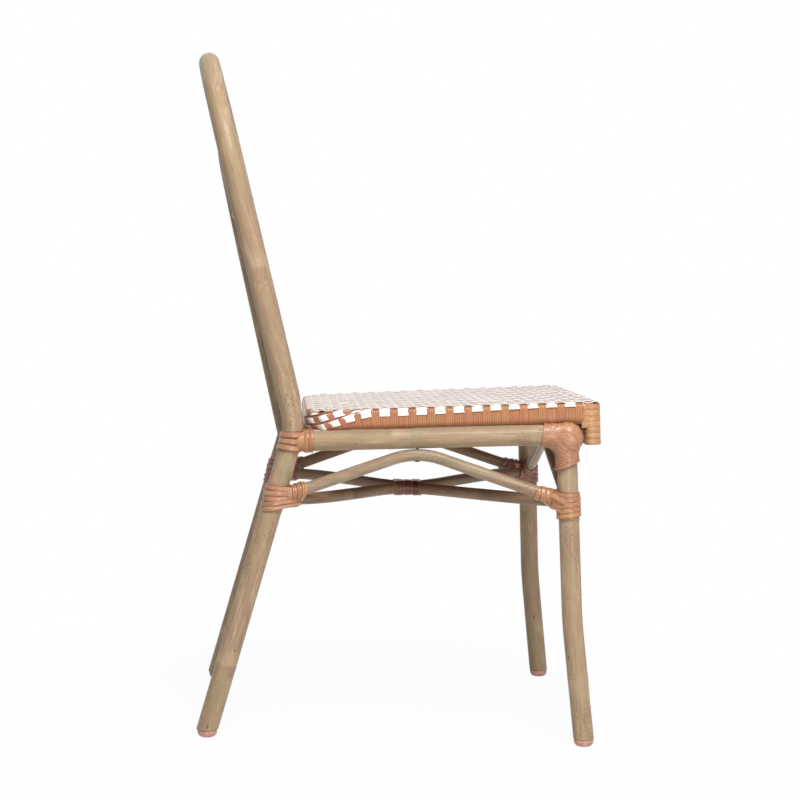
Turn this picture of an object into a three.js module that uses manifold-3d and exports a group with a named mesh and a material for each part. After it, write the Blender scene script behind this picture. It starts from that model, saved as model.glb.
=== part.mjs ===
// Rattan bistro chair with an arched back, millimetres, +Z up.
// The origin is on the floor under the middle of the chair, and the chair faces -Y.
import * as THREE from 'three';
import { mergeVertices } from 'three/addons/utils/BufferGeometryUtils.js';
import Module from 'manifold-3d';

const wasm = await Module();
wasm.setup();
const { degToRad } = THREE.MathUtils;

// Clearances and shared allowances
const seatingGap = 0.3;
const cutOverrun = 40;

// Tube diameters
const hoopDiameter = 28;
const legDiameter = 27;
const crossbarDiameter = 24;
const innerHoopDiameter = 20;
const archDiameter = 16;

// Driving sizes of the frame
const seatLevel = 411;
const frameRear = 132;
const frameDepth = 356.8;
const hoopHalfWidth = 175;
const seatFlare = 27.7;
const rearElbow = { y: frameRear, z: seatLevel };
const seatCorner = { halfWidth: hoopHalfWidth + seatFlare, y: frameRear - frameDepth, z: seatLevel };

// Outer hoop, whose ends run down as the rear legs
const hoopApexHeight = 904;
const hoopCrownFlat = 10;
const hoopCornerRadius = hoopHalfWidth - hoopCrownFlat / 2;
const hoopLean = degToRad(14.5);
const rearLegRake = degToRad(15.1);
const rearElbowRadius = 100;
const rearLegSplay = 9;
const rearFootHalfWidth = hoopHalfWidth + rearLegSplay;

// Front legs, bent over at the seat corner into the side rails
const seatCornerRadius = 30;
const railFall = degToRad(2.86);
const upperLegRake = degToRad(3.1);
const lowerLegRake = degToRad(6.9);
const kneeHeight = 165;
const kneeRadius = 700;
const frontLegSplay = 16.8;
const frontFootHalfWidth = seatCorner.halfWidth + frontLegSplay;

// Crossbars between the legs, a little below the seat level
const rearCrossbarDrop = 17;
const frontCrossbarDrop = 1;
const rearCrossbarHeight = seatLevel - rearCrossbarDrop;
const frontCrossbarHeight = seatLevel - frontCrossbarDrop;

// Inner back hoop, inside the outer one and behind it, with its lower bar and spacers
const innerHoopInset = 45;
const innerHoopTopShare = 0.7485;
const innerHoopSetback = { top: 8, foot: 16 };
const innerHoopCrownFlat = 8;
const innerHoopFootRise = 6;
const backBarShare = 0.202;
const sideSpacerShare = 0.708;
const panelThickness = 4.6;
const panelGap = 0.8;
const panelBandCounts = { across: 9, up: 10 };
const panelBand = { rise: 1.5, slope: 3, groove: 4 };

// Arches under the rails and the front crossbar
const sideArchPeakShare = 0.4526;
const sideArchApexY = frameRear - sideArchPeakShare * frameDepth;
const sideArchRearRise = degToRad(20.3);
const sideArchFrontRise = degToRad(17.8);
const sideArchRadius = 100;
const frontArchRise = degToRad(19.8);
const frontArchRadius = 60;

// Curved braces, bowed in to touch at a waist, as shares out, along and up from it to each leg
const braceEndDrop = { rear: 95, front: 89 };
const braceWaistShare = 0.454;
const braceWaistGap = 0.8;
const braceRearShares = [[0.839, 0.698, 0.7], [0.496, 0.416, 0.42], [0.128, 0.16, 0.16]];
const braceFrontShares = [[0.109, 0.16, 0.08], [0.422, 0.421, 0.42], [0.715, 0.681, 0.75]];

// Woven seat over its bent frame
const seatTilt = degToRad(3.2);
const seatLift = 2.3;
const seatThickness = 27;
const seatSideOverhang = { front: 3.3, rear: 3 };
const seatRearGap = 1.3;
const seatFrontCornerRadius = 14;
const seatRearCornerRadius = 48;
const seatEdgeRound = 4;
const seatSkin = 3;
const apronDepth = 22;
const apronDrop = 31;
const apronGap = 1.1;
const apronRearRadius = 5;
const seatFrameWidth = 22;
const seatSlatWidth = 24;
const seatSlatThickness = 12;
const seatSlatPlaceShares = [0.36, 0.7];

// Bindings of flat rattan strip
const sleeveWall = 2;
const strandWidth = 6.6;
const strandThickness = 2.2;
const strandGap = 0.4;
const strandSectionShares = [[-0.5, -0.5], [-0.36, 0.5], [0.36, 0.5], [0.5, -0.5]];
const knuckleRadius = 19.2;
const knuckleOffset = { forward: 4.8, down: 4 };
const cornerSleeve = { alongRail: 36.8, downLeg: 45 };
const rearUpperBinding = { below: 3, turns: 3, turnGap: 2, collarLength: 32 };
const rearLowerBinding = { below: 13, turns: 4, turnGap: 0.8, collarLength: 46 };
const frontLowerBinding = { below: 21, turns: 5, turnGap: 0.8, collarLength: 52 };
const centreBinding = { length: 44, wall: 2.6 };

// Glides and screws
const glideHeight = 10;
const glideRadius = 13;
const glideFlat = 7;
const glideStem = { radius: 6.5, length: 11 };
const glideDomeShares = [[0.8, 0.25], [1, 0.65], [1, 1]];
const screw = { radius: 2, headRadius: 4.5, headHeight: 2.4, grip: 9 };
const screwDomeShares = [[0, 1], [0.6, 0.8], [1, 0]];
const screwSeatDepth = 1;

// Facets
const tubeSides = 16;
const slimTubeSides = 12;
const kneeSteps = 2;
const elbowSteps = 6;
const bowSteps = 9;
const braceSteps = 18;
const turnSteps = 16;
const roundSteps = 4;

const rattanPole = new THREE.MeshStandardMaterial({ color: 0xb39c7e, roughness: 0.45, metalness: 0 });
const rattanRod = new THREE.MeshStandardMaterial({ color: 0xaa9682, roughness: 0.45, metalness: 0 });
const bindingStrip = new THREE.MeshStandardMaterial({ color: 0xc9976d, roughness: 0.5, metalness: 0 });
const seatWeave = new THREE.MeshStandardMaterial({ color: 0xe3d7ce, roughness: 0.55, metalness: 0 });
const frameWood = new THREE.MeshStandardMaterial({ color: 0x8f7a62, roughness: 0.7, metalness: 0 });
const glidePlastic = new THREE.MeshStandardMaterial({ color: 0xb17f6d, roughness: 0.6, metalness: 0 });
const screwSteel = new THREE.MeshStandardMaterial({ color: 0x3c3733, roughness: 0.4, metalness: 0.8 });

// Routes: straight runs joined by arcs, with stations only where the line bends
class Route extends THREE.Curve {
  constructor(stations) {
    super();
    this.stations = stations;
  }

  station(u) {
    return this.stations[Math.round(u * (this.stations.length - 1))];
  }

  getPointAt(u, target = new THREE.Vector3()) {
    return target.copy(this.station(u).point);
  }

  getTangentAt(u, target = new THREE.Vector3()) {
    return target.copy(this.station(u).tangent);
  }
}

function vector(x, y, z) {
  return new THREE.Vector3(x, y, z);
}

function directionBetween(from, to) {
  return to.clone().sub(from).normalize();
}

function bentRoute(corners, radii, steps) {
  const stations = [{ point: corners[0], tangent: directionBetween(corners[0], corners[1]) }];
  for (let i = 1; i < corners.length - 1; i++) {
    const arriving = directionBetween(corners[i - 1], corners[i]);
    const leaving = directionBetween(corners[i], corners[i + 1]);
    const turn = arriving.angleTo(leaving);
    const radius = radii[i - 1];
    const axis = arriving.clone().cross(leaving).normalize();
    const inward = leaving.clone().sub(arriving).normalize();
    const centre = corners[i].clone().addScaledVector(inward, radius / Math.cos(turn / 2));
    const start = corners[i].clone().addScaledVector(arriving, -radius * Math.tan(turn / 2));
    for (let k = 0; k <= steps[i - 1]; k++) {
      const angle = turn * k / steps[i - 1];
      const point = start.clone().sub(centre).applyAxisAngle(axis, angle).add(centre);
      stations.push({ point, tangent: arriving.clone().applyAxisAngle(axis, angle) });
    }
  }
  const last = corners.length - 1;
  stations.push({ point: corners[last], tangent: directionBetween(corners[last - 1], corners[last]) });
  return new Route(stations);
}

function straightRoute(from, to) {
  return bentRoute([from, to], [], []);
}

// The length along a route at which one of its coordinates first passes a value
function lengthWhere(route, axis, value) {
  let travelled = 0;
  for (let i = 1; i < route.stations.length; i++) {
    const from = route.stations[i - 1].point;
    const to = route.stations[i].point;
    const share = (value - from[axis]) / (to[axis] - from[axis]);
    if (share >= 0 && share <= 1) return travelled + share * from.distanceTo(to);
    travelled += from.distanceTo(to);
  }
  return travelled;
}

function stationAt(route, length) {
  let travelled = 0;
  for (let i = 1; i < route.stations.length; i++) {
    const from = route.stations[i - 1];
    const to = route.stations[i];
    const run = from.point.distanceTo(to.point);
    if (travelled + run >= length || i === route.stations.length - 1) {
      const share = (length - travelled) / run;
      return {
        point: from.point.clone().lerp(to.point, share),
        tangent: from.tangent.clone().lerp(to.tangent, share).normalize()
      };
    }
    travelled += run;
  }
}

function routeSpan(route, from, to) {
  const stations = [stationAt(route, from)];
  let travelled = 0;
  for (let i = 1; i < route.stations.length; i++) {
    travelled += route.stations[i - 1].point.distanceTo(route.stations[i].point);
    if (travelled > from && travelled < to) stations.push(route.stations[i]);
  }
  stations.push(stationAt(route, to));
  return new Route(stations);
}

// Solids
function tubeGeometry(route, diameter, sides) {
  const section = new THREE.Shape();
  section.absarc(0, 0, diameter / 2, 0, 2 * Math.PI, false);
  const steps = route.stations.length - 1;
  return new THREE.ExtrudeGeometry(section, { steps, curveSegments: sides / 2, extrudePath: route });
}

function solidOf(geometry) {
  const bare = geometry.clone();
  bare.deleteAttribute('normal');
  bare.deleteAttribute('uv');
  const merged = mergeVertices(bare);
  const vertProperties = Float32Array.from(merged.attributes.position.array);
  const triVerts = Uint32Array.from(merged.index.array);
  return new wasm.Manifold(new wasm.Mesh({ numProp: 3, vertProperties, triVerts }));
}

function geometryOf(solid) {
  const mesh = solid.getMesh();
  const geometry = new THREE.BufferGeometry();
  geometry.setAttribute('position', new THREE.BufferAttribute(mesh.vertProperties, 3));
  geometry.setIndex(new THREE.BufferAttribute(mesh.triVerts, 1));
  geometry.computeVertexNormals();
  return geometry;
}

function tubeSolid(route, diameter, sides) {
  return solidOf(tubeGeometry(route, diameter, sides));
}

function cutBy(solid, tools) {
  return tools.reduce((rest, tool) => rest.subtract(tool), solid);
}

function joined(solids) {
  return solids.reduce((whole, solid) => whole.add(solid));
}

function pinSolid(radius, from, to) {
  return tubeSolid(straightRoute(from, to), 2 * radius, slimTubeSides);
}

// Everything below the tops of the glides is cut from the leg tubes
function floorBlock() {
  const span = 4 * frontFootHalfWidth;
  const block = new THREE.BoxGeometry(span, span, cutOverrun);
  block.translate(0, 0, glideHeight + seatingGap - cutOverrun / 2);
  return solidOf(block);
}

function alongLine(y, z, angleFromVertical, targetZ) {
  return y + (targetZ - z) * Math.tan(angleFromVertical);
}

// Outer hoop
const hoopApexY = alongLine(rearElbow.y, rearElbow.z, hoopLean, hoopApexHeight);
const rearFootY = alongLine(rearElbow.y, rearElbow.z, -rearLegRake, glideHeight);

function rearLegHalfWidth(z) {
  const share = (rearElbow.z - z) / (rearElbow.z - glideHeight);
  return hoopHalfWidth + share * (rearFootHalfWidth - hoopHalfWidth);
}

function rearLegPoint(side, z) {
  return vector(side * rearLegHalfWidth(z), alongLine(rearElbow.y, rearElbow.z, -rearLegRake, z), z);
}

function hoopRoute(side) {
  const lowest = -glideHeight;
  const corners = [
    rearLegPoint(side, lowest),
    vector(side * hoopHalfWidth, rearElbow.y, rearElbow.z),
    vector(side * hoopHalfWidth, hoopApexY, hoopApexHeight),
    vector(-side * hoopHalfWidth, hoopApexY, hoopApexHeight),
    vector(-side * hoopHalfWidth, rearElbow.y, rearElbow.z),
    rearLegPoint(-side, lowest)
  ];
  const radii = [rearElbowRadius, hoopCornerRadius, hoopCornerRadius, rearElbowRadius];
  return bentRoute(corners, radii, [elbowSteps, bowSteps, bowSteps, elbowSteps]);
}

// The centre of the hoop's tube at a height below its arch
function hoopPoint(side, z) {
  const route = hoopRoute(side);
  return stationAt(route, lengthWhere(route, 'z', z)).point;
}

const hoopSpace = tubeSolid(hoopRoute(1), hoopDiameter + 2 * seatingGap, tubeSides);
const rearCrossbarY = hoopPoint(1, rearCrossbarHeight).y;

function glideBore(foot) {
  const mouth = vector(foot.x, foot.y, glideHeight - cutOverrun / 2);
  const end = vector(foot.x, foot.y, glideHeight + glideStem.length + 2 * seatingGap);
  return pinSolid(glideStem.radius + seatingGap, mouth, end);
}

function hoopSolid() {
  const bores = [-1, 1].map((side) => glideBore(rearLegPoint(side, glideHeight)));
  return cutBy(tubeSolid(hoopRoute(1), hoopDiameter, tubeSides), [floorBlock(), ...bores]);
}

// Front legs and side rails
const kneeY = alongLine(seatCorner.y, seatCorner.z, upperLegRake, kneeHeight);

function frontLegHalfWidth(z) {
  const share = (seatCorner.z - z) / (seatCorner.z - glideHeight);
  return seatCorner.halfWidth + share * (frontFootHalfWidth - seatCorner.halfWidth);
}

function frontLegPoint(side, z) {
  const above = z > kneeHeight;
  const y = above
    ? alongLine(seatCorner.y, seatCorner.z, upperLegRake, z)
    : alongLine(kneeY, kneeHeight, lowerLegRake, z);
  return vector(side * frontLegHalfWidth(z), y, z);
}

function railHeight(y) {
  return seatCorner.z - (y - seatCorner.y) * Math.tan(railFall);
}

function railHalfWidth(y) {
  const share = (y - seatCorner.y) / (rearCrossbarY - seatCorner.y);
  return seatCorner.halfWidth + share * (hoopHalfWidth - seatCorner.halfWidth);
}

function railPoint(side, y) {
  return vector(side * railHalfWidth(y), y, railHeight(y));
}

function frontTubeRoute(side) {
  const corners = [
    frontLegPoint(side, -glideHeight),
    frontLegPoint(side, kneeHeight),
    vector(side * seatCorner.halfWidth, seatCorner.y, seatCorner.z),
    railPoint(side, rearCrossbarY)
  ];
  return bentRoute(corners, [kneeRadius, seatCornerRadius], [kneeSteps, elbowSteps]);
}

const sides = { left: 1, right: -1 };
const frontTubeSpace = Object.fromEntries(Object.entries(sides).map(([name, side]) => (
  [name, tubeSolid(frontTubeRoute(side), legDiameter + 2 * seatingGap, tubeSides)]
)));

// Arches, each a shallow pointed bow whose ends butt on the legs
const archTop = legDiameter / 2 + seatingGap + archDiameter / 2;
const sideArchApexZ = railHeight(sideArchApexY) - archTop / Math.cos(railFall);

function bowPeak(radius, turn) {
  return radius * (1 / Math.cos(turn / 2) - 1);
}

// How far an arch's arm runs fore or aft from its peak to the centre line of a raked leg
function armReach(toward, leg, rake, peak, rise) {
  const offset = toward * (leg.y - peak.y) + (leg.z - peak.z) * Math.tan(rake);
  return offset / (1 - Math.tan(rise) * Math.tan(rake));
}

function sideArchRoute(side) {
  const peakZ = sideArchApexZ + bowPeak(sideArchRadius, sideArchRearRise + sideArchFrontRise);
  const peak = { y: sideArchApexY, z: peakZ };
  const rearReach = armReach(1, rearElbow, rearLegRake, peak, sideArchRearRise);
  const frontReach = armReach(-1, seatCorner, upperLegRake, peak, sideArchFrontRise);
  const rear = rearLegPoint(side, peakZ - rearReach * Math.tan(sideArchRearRise));
  const front = frontLegPoint(side, peakZ - frontReach * Math.tan(sideArchFrontRise));
  const peakShare = rearReach / (rearReach + frontReach);
  const top = vector(rear.x + peakShare * (front.x - rear.x), peak.y, peakZ);
  return bentRoute([rear, top, front], [sideArchRadius], [elbowSteps]);
}

const frontArchApexZ = frontCrossbarHeight - crossbarDiameter / 2 - seatingGap - archDiameter / 2;

function frontArchRoute() {
  const peakZ = frontArchApexZ + bowPeak(frontArchRadius, 2 * frontArchRise);
  const endZ = peakZ - seatCorner.halfWidth * Math.tan(frontArchRise);
  const ends = [1, -1].map((side) => frontLegPoint(side, endZ));
  const peak = vector(0, frontLegPoint(1, frontArchApexZ).y, peakZ);
  return bentRoute([ends[0], peak, ends[1]], [frontArchRadius], [elbowSteps]);
}

// Braces
const braceEndHeight = { rear: seatLevel - braceEndDrop.rear, front: seatLevel - braceEndDrop.front };
const braceWaist = {
  x: (archDiameter + braceWaistGap) / 2,
  y: frameRear - braceWaistShare * frameDepth,
  z: braceEndHeight.rear
};

function braceCurve(side) {
  const rear = rearLegPoint(side, braceEndHeight.rear);
  const front = frontLegPoint(side, braceEndHeight.front);
  const waist = vector(side * braceWaist.x, braceWaist.y, braceWaist.z);
  const toward = (end) => ([outShare, alongShare, upShare]) => vector(
    waist.x + outShare * (end.x - waist.x),
    waist.y + alongShare * (end.y - waist.y),
    waist.z + upShare * (end.z - waist.z)
  );
  const points = [
    rear, ...braceRearShares.map(toward(rear)), waist, ...braceFrontShares.map(toward(front)), front
  ];
  return new THREE.CatmullRomCurve3(points, false, 'centripetal');
}

function braceRouteOf(side) {
  const curve = braceCurve(side);
  const stations = [];
  for (let i = 0; i <= braceSteps; i++) {
    const u = i / braceSteps;
    stations.push({ point: curve.getPointAt(u), tangent: curve.getTangentAt(u) });
  }
  return new Route(stations);
}

// Crossbars
function crossbarRoute(halfWidth, y, z) {
  return straightRoute(vector(-halfWidth, y, z), vector(halfWidth, y, z));
}

const rearCrossbarRoute = crossbarRoute(hoopHalfWidth, rearCrossbarY, rearCrossbarHeight);
const frontCrossbarRoute = crossbarRoute(seatCorner.halfWidth, seatCorner.y, frontCrossbarHeight);
const crossbarSpaceDiameter = crossbarDiameter + 2 * seatingGap;
const rearCrossbarSpace = tubeSolid(rearCrossbarRoute, crossbarSpaceDiameter, tubeSides);
const frontCrossbarSpace = tubeSolid(frontCrossbarRoute, crossbarSpaceDiameter, tubeSides);

// Inner back hoop, leaning in a plane of its own
const innerHoopTop = {
  halfWidth: hoopHalfWidth - innerHoopInset,
  z: seatLevel + innerHoopTopShare * (hoopApexHeight - seatLevel)
};
const innerHoopFootZ = rearCrossbarHeight + innerHoopFootRise;
const innerHoopFootY = alongLine(rearElbow.y, rearElbow.z, hoopLean, innerHoopFootZ) + innerHoopSetback.foot;
innerHoopTop.y = alongLine(rearElbow.y, rearElbow.z, hoopLean, innerHoopTop.z) + innerHoopSetback.top;
const innerHoopLean = Math.atan2(innerHoopTop.y - innerHoopFootY, innerHoopTop.z - innerHoopFootZ);
const innerHoopCornerRadius = innerHoopTop.halfWidth - innerHoopCrownFlat / 2;
const backBarHeight = rearCrossbarHeight + backBarShare * (innerHoopTop.z - rearCrossbarHeight);
const sideSpacerHeight = backBarHeight + sideSpacerShare * (innerHoopTop.z - backBarHeight);

function innerHoopY(z) {
  return alongLine(innerHoopTop.y, innerHoopTop.z, innerHoopLean, z);
}

function innerHoopRoute() {
  const { halfWidth, y, z } = innerHoopTop;
  const corners = [
    vector(halfWidth, innerHoopFootY, innerHoopFootZ),
    vector(halfWidth, y, z),
    vector(-halfWidth, y, z),
    vector(-halfWidth, innerHoopFootY, innerHoopFootZ)
  ];
  return bentRoute(corners, [innerHoopCornerRadius, innerHoopCornerRadius], [bowSteps, bowSteps]);
}

const innerHoopSpace = tubeSolid(innerHoopRoute(), innerHoopDiameter + 2 * seatingGap, slimTubeSides);
const backBarRoute = crossbarRoute(innerHoopTop.halfWidth, innerHoopY(backBarHeight), backBarHeight);

function topSpacerRoute() {
  const inner = vector(0, innerHoopTop.y, innerHoopTop.z);
  return straightRoute(inner, vector(0, hoopApexY, hoopApexHeight));
}

function sideSpacerRoute(side) {
  const inner = vector(side * innerHoopTop.halfWidth, innerHoopY(sideSpacerHeight), sideSpacerHeight);
  const outerY = alongLine(rearElbow.y, rearElbow.z, hoopLean, sideSpacerHeight);
  return straightRoute(inner, vector(side * hoopHalfWidth, outerY, sideSpacerHeight));
}

// Woven back panel, drawn flat in the leaning plane of the inner hoop
const panelReach = {
  halfWidth: innerHoopTop.halfWidth - innerHoopDiameter / 2 - panelGap,
  radius: innerHoopCornerRadius - innerHoopDiameter / 2 - panelGap,
  low: archDiameter / 2 + panelGap,
  high: (innerHoopTop.z - backBarHeight) / Math.cos(innerHoopLean) - innerHoopDiameter / 2 - panelGap
};

function panelSlab(inset, from, to) {
  const halfWidth = panelReach.halfWidth - inset;
  const radius = panelReach.radius - inset;
  const low = panelReach.low + inset;
  const shoulder = panelReach.high - panelReach.radius;
  const outline = new THREE.Shape();
  outline.moveTo(-halfWidth, low);
  outline.lineTo(halfWidth, low);
  outline.absarc(halfWidth - radius, shoulder, radius, 0, Math.PI / 2, false);
  outline.absarc(radius - halfWidth, shoulder, radius, Math.PI / 2, Math.PI, false);
  const geometry = new THREE.ExtrudeGeometry(outline, {
    depth: to - from,
    curveSegments: bowSteps,
    bevelEnabled: false
  });
  geometry.translate(0, 0, from);
  return solidOf(geometry);
}

// One stretch of a band where it lies over another, sloping down all round to the panel's core
function bandSolid(width, length, x, y, face) {
  const outline = new THREE.Shape();
  outline.moveTo(-width / 2, -length / 2);
  outline.lineTo(width / 2, -length / 2);
  outline.lineTo(width / 2, length / 2);
  outline.lineTo(-width / 2, length / 2);
  const geometry = new THREE.ExtrudeGeometry(outline, {
    depth: panelThickness / 2 - panelBand.rise,
    bevelThickness: panelBand.rise,
    bevelSize: panelBand.slope,
    bevelOffset: -panelBand.slope,
    bevelSegments: 1
  });
  if (face < 0) geometry.rotateY(Math.PI);
  geometry.translate(x, y, 0);
  return solidOf(geometry);
}

// Upright bands stand out in front where level ones stand out behind, at every second crossing
function panelSolid() {
  const { across, up } = panelBandCounts;
  const step = { x: 2 * panelReach.halfWidth / across, y: (panelReach.high - panelReach.low) / up };
  const uprights = [];
  const levels = [];
  for (let i = 0; i < across; i++) {
    for (let j = i % 2; j < up; j += 2) {
      const x = (i + 0.5) * step.x - panelReach.halfWidth;
      const y = (j + 0.5) * step.y + panelReach.low;
      uprights.push(bandSolid(step.x - panelBand.groove, step.y + panelBand.groove, x, y, 1));
      levels.push(bandSolid(step.x + panelBand.groove, step.y - panelBand.groove, x, y, -1));
    }
  }
  const inset = panelBand.groove / 2;
  const surface = panelThickness / 2;
  const front = joined(uprights).intersect(panelSlab(inset, 0, surface));
  const behind = joined(levels).intersect(panelSlab(inset, -surface, 0));
  const core = surface - panelBand.rise;
  return joined([panelSlab(0, -core, core), front, behind]);
}

// Seat, drawn flat: x across, y to the back, z up from the underside
const seatFrontHalfWidth = seatCorner.halfWidth + seatSideOverhang.front;
const seatRearHalfWidth = hoopHalfWidth + seatSideOverhang.rear;
const seatOverhang = apronDepth + apronGap + knuckleRadius + knuckleOffset.forward;
const hoopFrontY = hoopPoint(1, seatLevel).y - hoopDiameter / 2;
const seatRear = (hoopFrontY - seatRearGap - seatCorner.y) / Math.cos(seatTilt);
const seatDepth = seatOverhang + seatRear;

function seatHalfWidth(y, inset) {
  const share = (y + seatOverhang) / seatDepth;
  return seatFrontHalfWidth + share * (seatRearHalfWidth - seatFrontHalfWidth) - inset;
}

function seatOutline(inset, frontY, rearY, rearRadius) {
  const front = frontY + inset;
  const rear = rearY - inset;
  const frontRadius = Math.max(seatFrontCornerRadius - inset, seatSkin);
  const frontX = seatHalfWidth(front + frontRadius, inset);
  const rearX = seatHalfWidth(rear - rearRadius, inset);
  const outline = new THREE.Shape();
  outline.moveTo(-frontX + frontRadius, front);
  outline.lineTo(frontX - frontRadius, front);
  outline.absarc(frontX - frontRadius, front + frontRadius, frontRadius, -Math.PI / 2, 0, false);
  outline.absarc(rearX - rearRadius, rear - rearRadius, rearRadius, 0, Math.PI / 2, false);
  outline.absarc(rearRadius - rearX, rear - rearRadius, rearRadius, Math.PI / 2, Math.PI, false);
  outline.absarc(frontRadius - frontX, front + frontRadius, frontRadius, Math.PI, 1.5 * Math.PI, false);
  return outline;
}

function roundedSlab(outline, low, high, round) {
  const geometry = new THREE.ExtrudeGeometry(outline, {
    depth: high - low - 2 * round,
    curveSegments: roundSteps,
    bevelEnabled: round > 0,
    bevelSize: round,
    bevelThickness: round,
    bevelOffset: -round,
    bevelSegments: 2
  });
  geometry.translate(0, 0, low + round);
  return solidOf(geometry);
}

function seatCoverSolid() {
  const whole = seatOutline(0, -seatOverhang, seatRear, seatRearCornerRadius);
  const apron = seatOutline(0, -seatOverhang, apronDepth - seatOverhang, apronRearRadius);
  const hollow = seatOutline(
    seatSkin, apronDepth - seatOverhang - seatSkin, seatRear, seatRearCornerRadius - seatSkin
  );
  const shell = roundedSlab(whole, 0, seatThickness, seatEdgeRound);
  const lip = roundedSlab(apron, -apronDrop, seatThickness - seatSkin, seatEdgeRound);
  return shell.add(lip).subtract(roundedSlab(hollow, -seatEdgeRound, seatThickness - seatSkin, 0));
}

const frameInset = seatSkin + seatingGap;
const frameTop = seatThickness - seatSkin - seatingGap;

function seatFrameGeometry() {
  const frontY = apronDepth - seatOverhang - seatSkin;
  const outer = seatOutline(frameInset, frontY, seatRear, seatRearCornerRadius - frameInset);
  const innerInset = frameInset + seatFrameWidth;
  const inner = seatOutline(innerInset, frontY, seatRear, seatRearCornerRadius - innerInset);
  outer.holes.push(new THREE.Path(inner.getPoints(roundSteps).reverse()));
  return new THREE.ExtrudeGeometry(outer, {
    depth: frameTop,
    curveSegments: roundSteps,
    bevelEnabled: false
  });
}

function seatSlatGeometry(share) {
  const y = share * seatDepth - seatOverhang;
  const halfWidth = seatHalfWidth(y + seatSlatWidth / 2, frameInset + seatFrameWidth + seatingGap);
  const slat = new THREE.BoxGeometry(2 * halfWidth, seatSlatWidth, seatSlatThickness);
  slat.translate(0, y, frameTop - seatSlatThickness / 2);
  return slat;
}

// A flat strip wound in one unbroken helix round a route, in rings of four points
function windingGeometry(route, start, turns, pitch, tubeRadius, side) {
  const centreRadius = (tubeRadius + strandGap) / Math.cos(Math.PI / turnSteps) + strandThickness / 2;
  const rings = turns * turnSteps;
  const points = [];
  for (let i = 0; i <= rings; i++) {
    const angle = side * i / turnSteps * 2 * Math.PI;
    const { point, tangent } = stationAt(route, start + i / turnSteps * pitch);
    const across = vector(1, 0, 0).addScaledVector(tangent, -tangent.x).normalize();
    const outward = across.applyAxisAngle(tangent, angle);
    for (const [alongShare, outShare] of strandSectionShares) {
      points.push(point.clone()
        .addScaledVector(outward, centreRadius + outShare * strandThickness)
        .addScaledVector(tangent, alongShare * strandWidth));
    }
  }
  const count = strandSectionShares.length;
  const faces = [];
  for (let i = 0; i < rings; i++) {
    for (let j = 0; j < count; j++) {
      const a = i * count + j;
      const b = i * count + (j + 1) % count;
      faces.push([a, b, b + count], [a, b + count, a + count]);
    }
  }
  for (let j = 1; j < count - 1; j++) {
    faces.push([0, j + 1, j], [rings * count, rings * count + j, rings * count + j + 1]);
  }
  const ordered = side < 0 ? faces : faces.map(([a, b, c]) => [a, c, b]);
  const geometry = new THREE.BufferGeometry();
  geometry.setFromPoints(points);
  geometry.setIndex(ordered.flat());
  return { geometry, points, ring: count * turnSteps };
}

// The least distance between points of a winding that lie half a turn or more apart
function leastSelfGap({ points, ring }) {
  let least = Infinity;
  for (let i = 0; i < points.length; i++) {
    for (let j = i + ring / 2; j < points.length; j++) {
      least = Math.min(least, points[i].distanceTo(points[j]));
    }
  }
  return least;
}

function windingSolid(name, route, start, turns, pitch, tubeRadius, side) {
  const winding = windingGeometry(route, start, turns, pitch, tubeRadius, side);
  console.log(`${name}: least gap between turns ${leastSelfGap(winding).toFixed(2)} mm`);
  return solidOf(winding.geometry);
}

// A binding: the strip wound round a leg, running into collars over the tubes that meet there
function bindingSolid(name, route, diameter, anchorZ, { below, turns, turnGap }, side, collars, spaces) {
  const start = lengthWhere(route, 'z', anchorZ - below) + strandWidth / 2;
  const winding = windingSolid(name, route, start, turns, strandWidth + turnGap, diameter / 2, side);
  return cutBy(joined([winding, ...collars]), spaces);
}

function taperedCollar(from, direction, length, wideRadius, narrowRadius) {
  const collar = new THREE.CylinderGeometry(narrowRadius, wideRadius, length, slimTubeSides);
  collar.translate(0, length / 2, 0);
  collar.applyQuaternion(new THREE.Quaternion().setFromUnitVectors(vector(0, 1, 0), direction));
  collar.translate(from.x, from.y, from.z);
  return solidOf(collar);
}

function collarOn(route, atEnd, length, diameter) {
  const last = route.stations.length - 1;
  const { point, tangent } = route.stations[atEnd ? last : 0];
  const direction = atEnd ? tangent.clone().negate() : tangent;
  const narrow = diameter / 2 + sleeveWall;
  return taperedCollar(point, direction, length, narrow + sleeveWall, narrow);
}

// Glide: a domed foot with a stem up the tube, turned on its own axis
function glideGeometry() {
  const stem = glideStem.radius;
  const profile = [
    [0, 0],
    [glideFlat, 0],
    ...glideDomeShares.map(([outShare, upShare]) => [outShare * glideRadius, upShare * glideHeight]),
    [stem, glideHeight],
    [stem, glideHeight + glideStem.length],
    [0, glideHeight + glideStem.length]
  ];
  const glide = new THREE.LatheGeometry(profile.map(([r, h]) => new THREE.Vector2(r, h)), slimTubeSides);
  glide.rotateX(Math.PI / 2);
  return glide;
}

// Round-headed screw, head down, its shank up through an arch
function screwGeometry() {
  const length = archDiameter + screw.grip;
  const profile = [
    ...screwDomeShares.map(([outShare, downShare]) => (
      [outShare * screw.headRadius, -downShare * screw.headHeight]
    )),
    [screw.radius, 0],
    [screw.radius, length],
    [0, length]
  ];
  const geometry = new THREE.LatheGeometry(profile.map(([r, h]) => new THREE.Vector2(r, h)), slimTubeSides);
  geometry.rotateX(Math.PI / 2);
  return geometry;
}

function screwPlace(x, y, apexZ) {
  return vector(x, y, apexZ - archDiameter / 2 + screwSeatDepth);
}

function screwSpace(place) {
  const high = place.z + archDiameter + screw.grip + seatingGap;
  const shank = pinSolid(screw.radius + seatingGap, place, vector(place.x, place.y, high));
  const mouth = vector(place.x, place.y, place.z - cutOverrun);
  const seat = vector(place.x, place.y, place.z + seatingGap);
  const head = pinSolid(screw.headRadius + seatingGap, mouth, seat);
  return shank.add(head);
}

// Assembly
const chair = new THREE.Group();

function addPiece(name, geometry, material, parent = chair) {
  const mesh = new THREE.Mesh(geometry, material);
  mesh.name = name;
  parent.add(mesh);
  return mesh;
}

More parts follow.
